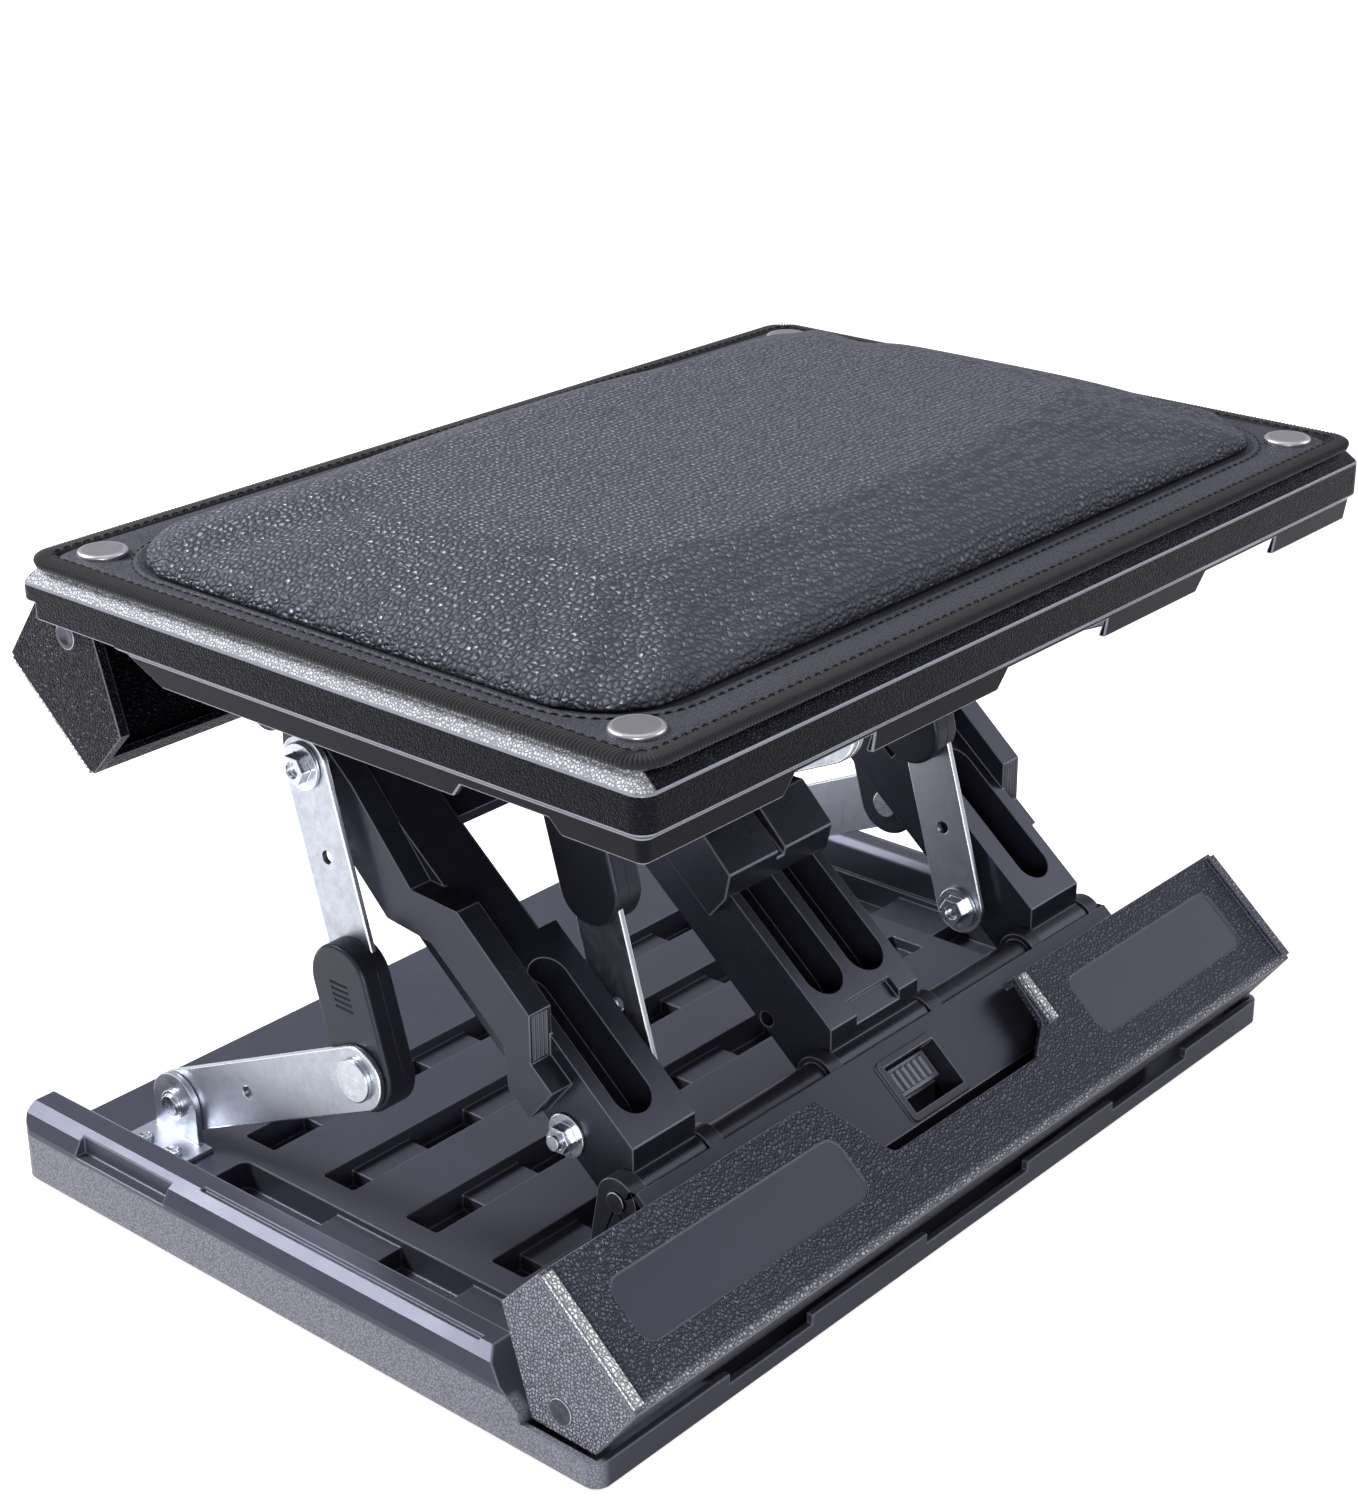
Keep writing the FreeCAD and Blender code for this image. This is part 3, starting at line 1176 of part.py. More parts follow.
def cushion():
    corner = SHELL_CORNER_R + CUSHION_EDGE_R
    top = RIM_HEIGHT + BORDER_HEIGHT
    low_wire = cushion_wire(BINDING_WIDTH + SOFT_GAP, RIM_HEIGHT, corner)
    border = Part.Face(low_wire).extrude(vec(0, 0, BORDER_HEIGHT))
    pad_corner = BORDER_WIDTH + CUSHION_CORNER_R
    low = top + CUSHION_BULGE_HEIGHT
    wires = [cushion_wire(BORDER_WIDTH, top - 1.0, pad_corner),
             cushion_wire(BORDER_WIDTH - 0.7 * CUSHION_BULGE, (top + low) / 2.0, pad_corner)]
    start = BORDER_WIDTH - CUSHION_BULGE
    rise = CUSHION_CROWN - CUSHION_BULGE_HEIGHT
    for k in range(CUSHION_LAYERS):
        a = math.radians(CUSHION_LAYER_TURN * k)
        inset = start + CUSHION_ROUNDING * (1.0 - math.cos(a)) ** 0.9
        wires.append(cushion_wire(inset, low + rise * math.sin(a), inset + CUSHION_CORNER_R))
    pad = Part.makeLoft(wires, True, True)
    holes = [upright(STUD_R + SOFT_GAP, x, y, RIM_HEIGHT - 1.0, top + 1.0)
             for x, y in snap_places()]
    return cut(fuse([border, pad]), holes)


def cushion_binding():
    corner = SHELL_CORNER_R + CUSHION_EDGE_R
    outer = Part.Face(cushion_wire(0.0, RIM_HEIGHT, corner))
    inner = Part.Face(cushion_wire(BINDING_WIDTH, RIM_HEIGHT, corner))
    return outer.cut(inner).extrude(vec(0, 0, BINDING_HEIGHT))


# Base body
carrier = hinge_carrier()
save("base_shell", [base_shell()])
save("base_rubber_strips", rubber_strips())
save("front_hinge_carrier", [carrier])
save("front_hinge_rod", [hinge_rod()])
save("front_flap_pins", flap_pins())
save("front_flap", [flap()])
save("front_latch", [latch()])

# Frame body
save("support_frame", [support_frame()])
save("centre_cap", [centre_cap()])

# Linkages: the lower pair outside the posts, the upper pair between them
SIDES = ("left", "right")
POST_GRIP = OUTER_POST_X[1] - OUTER_POST_X[0]
SETS = (("lower", lower_maps(), ARM_PIVOT, KNEE, BOLT, POST_GRIP + RAIL_WIDTH),
        ("upper", upper_maps(), half_turned_point(ARM_PIVOT), half_turned_point(KNEE),
         half_turned_point(BOLT), POST_GRIP))
for level, maps, pivot, knee, bolt, grip in SETS:
    for side, x in zip(SIDES, maps):
        name = level + "_" + side
        save(name + "_arm", [arm(x, pivot, knee)])
        save(name + "_ratchet_wheel", [ratchet_wheel(x, knee, bolt)])
        save(name + "_strut", [strut(x, knee, bolt)])
        save(name + "_cover_inner", [inner_cover(x, knee, bolt)])
        save(name + "_cover_outer", [outer_cover(x, knee, bolt)])
        save(name + "_pawl", [pawl(x, knee, bolt)])
        angle = bracket(x, ARM_PIVOT)
        save(name + "_bracket", [half_turned(angle) if level == "upper" else angle])
    save(level + "_knee_rivets", [knee_rivet(x, knee) for x in maps])
    save(level + "_pivot_rivets", [pivot_rivet(x, pivot) for x in maps])
    save(level + "_frame_bolts", [frame_bolt(x, bolt, grip) for x in maps])
    save(level + "_bolt_spacers", [bolt_spacer(x, bolt) for x in maps])
    save(level + "_bolt_nuts", [bolt_nut(x, bolt, grip) for x in maps])
    screws = [screw(sx, sy) for x in maps for sx, sy in screw_places(x, ARM_PIVOT)]
    save(level + "_bracket_screws", [half_turned(s) if level == "upper" else s for s in screws])

# Platform body
save("platform_shell", [platform_shell()])
save("rear_hinge_carrier", [half_turned(carrier)])
save("rear_hinge_rod", [half_turned(hinge_rod())])
save("rear_flap_pins", [half_turned(p) for p in flap_pins()])
save("rear_flap", [half_turned(flap())])
save("rear_latch", [half_turned(latch())])
save("cushion", [cushion()])
save("cushion_binding", [cushion_binding()])
save("snap_caps", snap_caps())
save("snap_studs", snap_studs())
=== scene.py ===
import math

import bpy
import numpy as np
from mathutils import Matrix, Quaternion, Vector


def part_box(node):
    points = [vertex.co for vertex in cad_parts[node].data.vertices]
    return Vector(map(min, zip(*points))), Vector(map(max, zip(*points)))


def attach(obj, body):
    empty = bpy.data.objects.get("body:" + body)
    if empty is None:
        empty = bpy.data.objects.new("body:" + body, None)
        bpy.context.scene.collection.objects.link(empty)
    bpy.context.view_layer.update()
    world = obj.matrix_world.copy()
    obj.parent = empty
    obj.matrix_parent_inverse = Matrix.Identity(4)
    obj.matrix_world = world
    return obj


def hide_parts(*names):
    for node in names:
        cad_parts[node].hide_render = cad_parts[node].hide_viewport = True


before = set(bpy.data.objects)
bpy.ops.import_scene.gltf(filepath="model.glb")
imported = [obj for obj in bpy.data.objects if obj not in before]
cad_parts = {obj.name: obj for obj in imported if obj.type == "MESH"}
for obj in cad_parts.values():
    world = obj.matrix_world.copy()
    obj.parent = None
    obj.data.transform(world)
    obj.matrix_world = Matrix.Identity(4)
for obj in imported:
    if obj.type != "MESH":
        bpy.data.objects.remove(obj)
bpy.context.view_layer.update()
scene = bpy.context.scene
scene.view_settings.view_transform = "Standard"


# Camera. It stands to the left of the footrest and a little above it, as the
# photographer did, with a short telephoto lens, and it leans by under a degree.
CAMERA_PLACE = (-0.7396, -0.6564, 0.5760)
CAMERA_TURN = math.radians(-48.7)
CAMERA_RISE = math.radians(23.09)
CAMERA_LEAN = math.radians(-0.63)
camera = bpy.data.objects.new("camera", bpy.data.cameras.new("camera"))
camera.data.lens = 66.2
camera.data.sensor_width = 36.0
camera.location = CAMERA_PLACE
look = Vector((-math.sin(CAMERA_TURN) * math.cos(CAMERA_RISE),
               math.cos(CAMERA_TURN) * math.cos(CAMERA_RISE), -math.sin(CAMERA_RISE)))
lean = Quaternion((0.0, 0.0, 1.0), CAMERA_LEAN)
camera.rotation_euler = (look.to_track_quat("-Z", "Y") @ lean).to_euler()
scene.collection.objects.link(camera)
scene.camera = camera


# Studio. A matt white sweep under the footrest and four soft boxes round it: a small
# hot one behind on the left for the bright edges, wide weak ones above and on the front
# right, and a small low one on the left. SOFT_BOXES gives place, size and watts.
def linear(code, strength=1.0):
    """The linear colour of an sRGB hex value, made darker or paler by strength."""
    parts = [int(code[k:k + 2], 16) / 255.0 for k in (1, 3, 5)]
    parts = [p / 12.92 if p <= 0.04045 else ((p + 0.055) / 1.055) ** 2.4 for p in parts]
    return [strength * p for p in parts] + [1.0]


def put(tree, kind, sockets=None, **settings):
    """Adds a node with its settings. A socket takes a value, or a link from an output."""
    made = tree.nodes.new("ShaderNode" + kind)
    for name, value in settings.items():
        setattr(made, name, value)
    for name, value in (sockets or {}).items():
        if isinstance(value, bpy.types.NodeSocket):
            tree.links.new(value, made.inputs[name])
        else:
            made.inputs[name].default_value = value
    return made


def blank(name):
    """A new material with an empty node tree."""
    material = bpy.data.materials.new(name)
    material.use_nodes = True
    material.node_tree.nodes.clear()
    return material, material.node_tree


SWEEP_HALF = 9.0
SWEEP_GLOW = 0.75
GLOW_IN_MIRRORS = 0.25
AIMED_AT = (0.0, 0.0, 0.12)
SOFT_BOXES = (("back_left_box", (-0.70, 1.20, 1.40), 0.6, 40.0),
              ("top_box", (0.25, 0.10, 2.20), 1.6, 5.0),
              ("front_right_box", (1.40, -1.10, 1.10), 1.3, 9.0),
              ("left_box", (-1.15, -1.05, 0.28), 0.5, 8.0))
sweep_corners = [(-SWEEP_HALF, -SWEEP_HALF, 0.0), (SWEEP_HALF, -SWEEP_HALF, 0.0),
                 (SWEEP_HALF, SWEEP_HALF, 0.0), (-SWEEP_HALF, SWEEP_HALF, 0.0)]
sweep_mesh = bpy.data.meshes.new("studio_sweep")
sweep_mesh.from_pydata(sweep_corners, [], [(0, 1, 2, 3)])
sweep = bpy.data.objects.new("studio_sweep", sweep_mesh)
scene.collection.objects.link(sweep)
paper, tree = blank("matt white paper")
path = put(tree, "LightPath")
matt = put(tree, "BsdfPrincipled", {"Base Color": linear("#f3f3f4"), "Roughness": 0.9,
                                    "Specular IOR Level": 0.2})
glow = put(tree, "Emission", {"Color": linear("#ffffff"), "Strength": SWEEP_GLOW})
lit = put(tree, "AddShader", {0: matt.outputs[0], 1: glow.outputs[0]})
clear = put(tree, "Math", {0: path.outputs["Is Glossy Ray"], 1: GLOW_IN_MIRRORS,
                           2: path.outputs["Is Camera Ray"]}, operation="MULTIPLY_ADD")
shown = put(tree, "MixShader", {0: clear.outputs[0], 1: matt.outputs[0], 2: lit.outputs[0]})
put(tree, "OutputMaterial", {"Surface": shown.outputs[0]})
sweep_mesh.materials.append(paper)
for name, place, size, power in SOFT_BOXES:
    lamp = bpy.data.lights.new(name, "AREA")
    lamp.shape = "SQUARE"
    lamp.size = size
    lamp.energy = power
    lamp_object = bpy.data.objects.new(name, lamp)
    lamp_object.location = place
    aim = Vector(AIMED_AT) - Vector(place)
    lamp_object.rotation_euler = aim.to_track_quat("-Z", "Y").to_euler()
    scene.collection.objects.link(lamp_object)
room = bpy.data.worlds.new("pale room")
room.use_nodes = True
room.node_tree.nodes.clear()
tree = room.node_tree
path = put(tree, "LightPath")
dim = put(tree, "Background", {"Color": linear("#ffffff"), "Strength": 0.28})
mirrored = put(tree, "Background", {"Color": linear("#eceefc"), "Strength": 0.65})
seen = put(tree, "Background", {"Color": linear("#ffffff"), "Strength": 1.0})
glossy = put(tree, "MixShader", {0: path.outputs["Is Glossy Ray"], 1: dim.outputs[0],
                                 2: mirrored.outputs[0]})
both = put(tree, "MixShader", {0: path.outputs["Is Camera Ray"], 1: glossy.outputs[0],
                               2: seen.outputs[0]})
put(tree, "OutputWorld", {"Surface": both.outputs[0]})
scene.world = room


# Base tray. Black ABS moulded in one piece: a satin deck, and leather grain on the
# outside of the walls below their shoulders. Those outsides are painted pale as light,
# and the rounded edges paler as highlights.
def figure(tree, operation, *values):
    """A maths node on one, two or three values, and its result."""
    return put(tree, "Math", dict(enumerate(values)), operation=operation).outputs[0]


def over(tree, value, level, soft):
    """A mask that goes from 0 to 1 as the value passes the level, over soft metres."""
    return put(tree, "MapRange", {"Value": value, "From Min": level - soft,
                                  "From Max": level + soft}).outputs[0]


def moulded(name, code, roughness, fine=0.00002, size=0.0014, depth=0.0003, shine=0.28,
            where=None, painted_light=(), crease=0.3, crest=1.2):
    """Moulded plastic with a fine spark texture, fine metres deep. where gives, from the
    node tree and the place, a mask of the faces that carry a leather grain instead: domed
    cells of that size and depth, painted crease times as pale in their creases as shade
    and crest times on top as highlight. A list of more such masks comes with a colour for
    each, painted there as light, shade or highlight."""
    material, tree = blank(name)
    place = put(tree, "TexCoord").outputs["Object"]
    drift = put(tree, "TexNoise", {"Vector": place, "Scale": 35.0, "Detail": 4.0})
    colour = put(tree, "Mix", {0: drift.outputs["Fac"], 6: linear(code, 0.8),
                               7: linear(code, 1.25)}, data_type="RGBA").outputs[2]
    # Colours painted over their masks as light, shade or highlight
    for mask, painted_shading in painted_light:
        colour = put(tree, "Mix", {0: mask(tree, place), 6: colour, 7: linear(painted_shading)},
                     data_type="RGBA").outputs[2]
    gloss = put(tree, "MapRange", {"Value": drift.outputs["Fac"], "To Min": roughness - 0.06,
                                   "To Max": roughness + 0.08}).outputs[0]
    spark = put(tree, "TexNoise", {"Vector": place, "Scale": 1.0 / 0.0005, "Detail": 2.0})
    normal = put(tree, "Bump", {"Height": spark.outputs["Fac"], "Strength": 0.6,
                                "Distance": fine}).outputs[0]
    if where is not None:
        mask = where(tree, place)
        cells = put(tree, "TexVoronoi", {"Vector": place, "Scale": 1.0 / size,
                                         "Randomness": 0.9}, feature="DISTANCE_TO_EDGE")
        from_crease = cells.outputs["Distance"]
        rise = put(tree, "MapRange", {"Value": from_crease, "From Max": 0.32},
                   interpolation_type="SMOOTHSTEP").outputs[0]
        # Creases painted darker as shade, tops paler as highlight
        painted_shading = put(tree, "MapRange", {"Value": from_crease, "From Min": 0.03,
                                      "From Max": 0.22, "To Min": crease, "To Max": crest})
        level = put(tree, "Mix", {0: mask, 2: 1.0, 3: painted_shading.outputs[0]}).outputs[0]
        colour = put(tree, "VectorMath", {0: colour, "Scale": level},
                     operation="SCALE").outputs[0]
        height = figure(tree, "MULTIPLY", rise, mask)
        normal = put(tree, "Bump", {"Height": height, "Strength": 0.9, "Distance": depth,
                                    "Normal": normal}).outputs[0]
    shader = put(tree, "BsdfPrincipled", {"Base Color": colour, "Roughness": gloss,
                                          "IOR": 1.52, "Specular IOR Level": shine,
                                          "Specular Tint": (0.72, 0.75, 1.0, 1.0),
                                          "Normal": normal})
    put(tree, "OutputMaterial", {"Surface": shader.outputs[0]})
    return material


def dress(names, material, edge, rim=None, flatten=True):
    """Gives CAD nodes a material, and rounds their edges by edge metres as a mould or a
    press leaves them. rim is a paler colour painted on the rounded edges themselves as a
    highlight. flatten joins level faces first, and is left out where a window or slots cut
    the face up. A wide edge would close narrow flutes, so the finer a piece's steps, the finer
    its edge."""
    for name in names:
        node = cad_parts[name]
        node.data.materials.clear()
        node.data.materials.append(material)
        weld = node.modifiers.new("weld", "WELD")
        weld.merge_threshold = 1e-5
        if flatten:
            flat = node.modifiers.new("flat", "DECIMATE")
            flat.decimate_type = "DISSOLVE"
            flat.angle_limit = math.radians(0.4)
        bevel = node.modifiers.new("edge", "BEVEL")
        bevel.width = edge
        bevel.segments = 2
        bevel.use_clamp_overlap = False
        bevel.limit_method = "ANGLE"
        bevel.angle_limit = math.radians(32.0)
        if rim is not None:
            node.data.materials.append(rim)
            bevel.material = 1
        shade = node.modifiers.new("shade", "WEIGHTED_NORMAL")
        shade.keep_sharp = True


WALL_X = 0.2055
SHOULDER_Z = 0.0205


def outer_wall(tree, place):
    """The outside of the tray's walls, up to the shoulder."""
    split = put(tree, "SeparateXYZ", {"Vector": place}).outputs
    side = over(tree, figure(tree, "ABSOLUTE", split["X"]), WALL_X, 0.0015)
    high = over(tree, split["Z"], SHOULDER_Z, 0.0006)
    return figure(tree, "MULTIPLY", side, figure(tree, "SUBTRACT", 1.0, high))


# Rounded edges painted paler than the plastic as highlights
abs_edge_highlight = moulded("burnished ABS edge", "#666770", 0.24, shine=0.7)
# The outsides of the walls are painted pale as light
tray_abs = moulded("satin ABS with grained walls", "#3f3f4b", 0.30, size=0.0012,
                   depth=0.00012, where=outer_wall, painted_light=((outer_wall, "#80808c"),),
                   shine=0.32, crease=0.55)
dress(["base_shell"], tray_abs, 0.0005, abs_edge_highlight)

# Rubber strips. Black rubber set into the floor of the tray so that it doesn't slide.
rubber = moulded("black rubber", "#1a1a1c", 0.75, 0.00005)
dress(["base_rubber_strips"], rubber, 0.0004)

# Hinge carriers and latches. Black ABS, screwed into the shells. The ears hold the
# rods, and the thumb latch runs in a framed window. The latch is painted pale as light,
# for it lies in the shade of that window.
carrier_abs = moulded("satin black ABS", "#2a2a33", 0.34, shine=0.35)
dress(["front_hinge_carrier", "rear_hinge_carrier"], carrier_abs, 0.0004, abs_edge_highlight,
      flatten=False)
# Latch colour painted pale as light inside its shaded window
latch_painted_light = moulded("satin pale_lit ABS", "#7c7c8a", 0.34, shine=0.5)
dress(["front_latch", "rear_latch"], latch_painted_light, 0.0003, abs_edge_highlight, flatten=False)


# Flaps. Sloping covers of leather-grained ABS. Their two shallow panels stay smooth.
# The beads at the left end and at the latch opening are painted near white as
# highlights, and the foot of each slope paler as a highlight.
FLAP_PIN = (-0.133, 0.0227)
FLAP_SLOPE = math.radians(40.8)
LOW_EDGE_UP = -0.0134
LOW_EDGE_OFF = 0.0288
PANEL_OFF = 0.0318
BEAD_OFF = 0.0332
UNLIT_BEAD_X = 0.15
END_X = 0.2022
HALF_TURN = (-0.038, 0.262)


def from_pin(tree, place, turned):
    """How far a point stands off the flap's pin, square to its slope, and how far up the
    slope it lies. turned is for the rear flap, the front one turned by half a turn."""
    split = put(tree, "SeparateXYZ", {"Vector": place}).outputs
    if turned:
        y = figure(tree, "SUBTRACT", HALF_TURN[0] - FLAP_PIN[0], split["Y"])
        z = figure(tree, "SUBTRACT", HALF_TURN[1] - FLAP_PIN[1], split["Z"])
    else:
        y = figure(tree, "SUBTRACT", split["Y"], FLAP_PIN[0])
        z = figure(tree, "SUBTRACT", split["Z"], FLAP_PIN[1])
    off = figure(tree, "MULTIPLY_ADD", z, math.cos(FLAP_SLOPE),
                 figure(tree, "MULTIPLY", y, -math.sin(FLAP_SLOPE)))
    up = figure(tree, "MULTIPLY_ADD", y, math.cos(FLAP_SLOPE),
                figure(tree, "MULTIPLY", z, math.sin(FLAP_SLOPE)))
    return off, up


def above_panels(turned):
    """A mask of a flap's grained faces: all but the floors of its sunk panels."""
    def where(tree, place):
        off = figure(tree, "SUBTRACT", from_pin(tree, place, turned)[0], PANEL_OFF)
        return over(tree, figure(tree, "ABSOLUTE", off), 0.0004, 0.0001)
    return where


def on_beads(turned):
    """The beads that stand above a flap's slope, painted near white as highlights, all but
    the one at its right end, which is left unlit.
    """
    def where(tree, place):
        split = put(tree, "SeparateXYZ", {"Vector": place}).outputs
        right = over(tree, split["X"], UNLIT_BEAD_X, 0.01)
        above = over(tree, from_pin(tree, place, turned)[0], BEAD_OFF, 0.0001)
        return figure(tree, "MULTIPLY", above, figure(tree, "SUBTRACT", 1.0, right))
    return where


def foot_highlight(turned):
    """The rounded edge at the foot of the slope, painted paler as a highlight."""
    def where(tree, place):
        off, up = from_pin(tree, place, turned)
        near = figure(tree, "SUBTRACT", 1.0, over(tree, up, LOW_EDGE_UP, 0.0012))
        return figure(tree, "MULTIPLY", near, over(tree, off, LOW_EDGE_OFF, 0.0004))
    return where


def at_ends(tree, place):
    """The outsides of the end plates, painted paler as light on the front flap and darker as
    shade on the rear one.
    """
    side = put(tree, "SeparateXYZ", {"Vector": place}).outputs["X"]
    return over(tree, figure(tree, "ABSOLUTE", side), END_X, 0.0004)


# Each flap with its turn, then the colours of panels, grain, foot and end plates, and
# how much it shines. The rear flap's colours are painted dark as shade. The front
# flap's grain is painted paler as sheen and its end plates paler as light, and both
# feet are painted highlights.
FLAP_TONES = (("front_flap", False, "#34343f", "#4a4a58", "#a0a0ac", "#787884", 0.35),
              ("rear_flap", True, "#121217", "#121217", "#50505c", "#101014", 0.13))
for name, turned, code, grain, low, end, shine in FLAP_TONES:
    # The colours below are painted as light, shade and highlights
    flap_abs = moulded("leather-grained ABS, " + name.replace("_", " "), code, 0.32,
                       size=0.0015, depth=0.0007, where=above_panels(turned), shine=shine,
                       painted_light=((above_panels(turned), grain), (foot_highlight(turned), low),
                               (at_ends, end), (on_beads(turned), "#eeeff4")), crest=1.7)
    dress([name], flap_abs, 0.00036, abs_edge_highlight)


# Platform shell. Black ABS with a pebbled chamfer round the cushion and a textured
# band under it. Below the crease it is smooth. The left chamfer is painted pale as the
# highlight of the lamp behind on the left, and the rounded edges paler as highlights.
CREASE_Z = 0.2436
CHAMFER_Z = 0.2567
CHAMFER_X = 0.2040


def upper_band(tree, place):
    """The chamfer and the band above the crease."""
    split = put(tree, "SeparateXYZ", {"Vector": place}).outputs
    return over(tree, split["Z"], CREASE_Z, 0.0002)


def lit_chamfer(tree, place):
    """The chamfer of the left side, painted pale as a highlight."""
    split = put(tree, "SeparateXYZ", {"Vector": place}).outputs
    side = over(tree, figure(tree, "MULTIPLY", split["X"], -1.0), CHAMFER_X, 0.0004)
    return figure(tree, "MULTIPLY", side, over(tree, split["Z"], CHAMFER_Z, 0.0002))


# Rounded edges painted paler as highlights
shell_edge_highlight = moulded("polished black edge", "#8a8b95", 0.20, shine=0.8)
# The left chamfer is painted pale as a highlight
shell_abs = moulded("pebbled ABS", "#0a0a0f", 0.30, size=0.0012, depth=0.0002, shine=0.13,
                    where=upper_band, painted_light=((lit_chamfer, "#ccced6"),))
dress(["platform_shell"], shell_abs, 0.0006, shell_edge_highlight)

# Support frame. Glass-filled nylon, moulded in one piece with pockets that keep its
# walls even, and a clamp block on the middle post.
frame_nylon = moulded("glass-filled nylon", "#20202a", 0.26, shine=0.5)
dress(["support_frame"], frame_nylon, 0.00036, abs_edge_highlight)
dress(["centre_cap"], frame_nylon, 0.0006, abs_edge_highlight)

# Linkage covers. Two nylon halves clipped over each ratchet.
LINKAGES = ("lower_left", "lower_right", "upper_left", "upper_right")
cover_nylon = moulded("satin black nylon", "#24242c", 0.32, shine=0.4)
for half in ("inner", "outer"):
    covers = [corner + "_cover_" + half for corner in LINKAGES]
    dress(covers, cover_nylon, 0.0003, flatten=half == "outer")


# Linkages. Straps, brackets and ratchets pressed from sheet steel, then zinc plated.
# Their rounded edges are painted near white as highlights.
def plated(name, code, roughness, mottle, shadow=None):
    """Plated steel with the cloudy mottle that plating leaves. mottle is how dark the
    cloud goes, and shadow darkens the faces that the mask picks."""
    material, tree = blank(name)
    place = put(tree, "TexCoord").outputs["Object"]
    cloud = put(tree, "TexNoise", {"Vector": place, "Scale": 1.0 / 0.004, "Detail": 8.0,
                                   "Roughness": 0.75})
    spread = put(tree, "MapRange", {"Value": cloud.outputs["Fac"], "From Min": 0.35,
                                    "From Max": 0.65}).outputs[0]
    colour = put(tree, "Mix", {0: spread, 6: linear(code, mottle), 7: linear(code)},
                 data_type="RGBA").outputs[2]
    if shadow is not None:
        colour = put(tree, "Mix", {0: shadow(tree, place), 6: colour,
                                   7: linear(code, 0.62)}, data_type="RGBA").outputs[2]
    gloss = put(tree, "MapRange", {"Value": spread, "To Min": roughness + 0.12,
                                   "To Max": roughness - 0.05})
    speck = put(tree, "TexNoise", {"Vector": place, "Scale": 1.0 / 0.0008, "Detail": 3.0})
    bump = put(tree, "Bump", {"Height": speck.outputs["Fac"], "Strength": 0.4,
                              "Distance": 0.00004})
    shader = put(tree, "BsdfPrincipled", {"Base Color": colour, "Metallic": 1.0,
                                          "Roughness": gloss.outputs[0],
                                          "Normal": bump.outputs[0]})
    put(tree, "OutputMaterial", {"Surface": shader.outputs[0]})
    return material


# Rounded steel edges painted near white as highlights
zinc_edge_highlight = plated("rolled zinc edge", "#f2f4f6", 0.2, 0.95)
zinc = plated("zinc-plated steel", "#c6cad4", 0.34, 0.8)
steel = [corner + "_" + kind for corner in LINKAGES
         for kind in ("arm", "strut", "bracket", "pawl")]
dress(steel, zinc, 0.00025, zinc_edge_highlight)
dress([corner + "_ratchet_wheel" for corner in LINKAGES], zinc, 0.00015, zinc_edge_highlight)

# Rivets, bolts and screws. Turned steel with a bright zinc plate.
bright = plated("bright zinc", "#d4d8e0", 0.24, 0.8)
fixings = [level + "_" + kind for level in ("lower", "upper")
           for kind in ("knee_rivets", "pivot_rivets", "frame_bolts", "bolt_spacers",
                        "bolt_nuts")]
# Their rounded edges take the same painted highlight
dress(fixings, bright, 0.00035, zinc_edge_highlight)
dress(["lower_bracket_screws", "upper_bracket_screws"], bright, 0.0002, zinc_edge_highlight,
      flatten=False)

# Rods and flap pins. Steel with a black oxide; their rounded edges are painted bright
# as highlights.
oxide = plated("black oxide steel", "#55565e", 0.30, 0.6)
dress(["front_hinge_rod", "rear_hinge_rod", "front_flap_pins", "rear_flap_pins"], oxide,
      0.0003, bright)


# Snaps. Nickel caps, brushed matt inside a thin shiny rim, that hold the cushion to
# studs in the platform. The middle of each cap is painted darker as shade, and the
# rounded edges paler as highlights.
SNAP_MIDDLE_Y = -0.0315
SNAP_FROM_MIDDLE = (0.1885, 0.1245)
SNAP_RIM_R = 0.0073


def inside_rim(tree, place):
    """The middle of each cap, from the distance to the nearest of the four."""
    split = put(tree, "SeparateXYZ", {"Vector": place}).outputs
    x = figure(tree, "SUBTRACT", figure(tree, "ABSOLUTE", split["X"]), SNAP_FROM_MIDDLE[0])
    y = figure(tree, "ABSOLUTE", figure(tree, "SUBTRACT", split["Y"], SNAP_MIDDLE_Y))
    y = figure(tree, "SUBTRACT", y, SNAP_FROM_MIDDLE[1])
    reach = figure(tree, "SQRT", figure(tree, "MULTIPLY_ADD", x, x,
                                        figure(tree, "MULTIPLY", y, y)))
    return figure(tree, "SUBTRACT", 1.0, over(tree, reach, SNAP_RIM_R, 0.0002))


# The middle of each cap is painted darker as shade
nickel = plated("satin nickel", "#d0cfcd", 0.3, 0.85, shadow=inside_rim)
dress(["snap_caps", "snap_studs"], nickel, 0.0003, zinc_edge_highlight)


# Cushion pad. Foam under black polyurethane leather with a coarse pebble, drawn in
# at the seam, swelling over it and crowned by two centimetres. Its cover is blown up
# as cloth, pinned along the seam and underneath.
PAD_HALF = (0.1930, 0.1220)
PAD_CORNER = 0.034
PAD_RISE = 0.0145
PAD_RUN = 0.030
PAD_CROWN = 0.0050
PAD_SWELL = 0.0018
PAD_RINGS = 60
PAD_AROUND = 400
PAD_VOXEL = 0.0048
PAD_LIFT = 0.0085
PAD_UNDER = 0.0022
COVER_STEPS = 20
SEAM_Z = 0.0028
SEAM_HOLD = 0.0012
FOLD_DEPTH = 0.00015
CORNER_FOLD_DEPTH = 0.00020
FOLD_FADE = 0.007
edge_low, edge_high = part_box("cushion_binding")
pad_low, pad_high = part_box("cushion")
EDGE_HALF = ((edge_high.x - edge_low.x) / 2.0, (edge_high.y - edge_low.y) / 2.0)
MIDDLE = np.array([(edge_high.x + edge_low.x) / 2.0, (edge_high.y + edge_low.y) / 2.0])
RIM = edge_low.z
CROWN_Z = pad_high.z


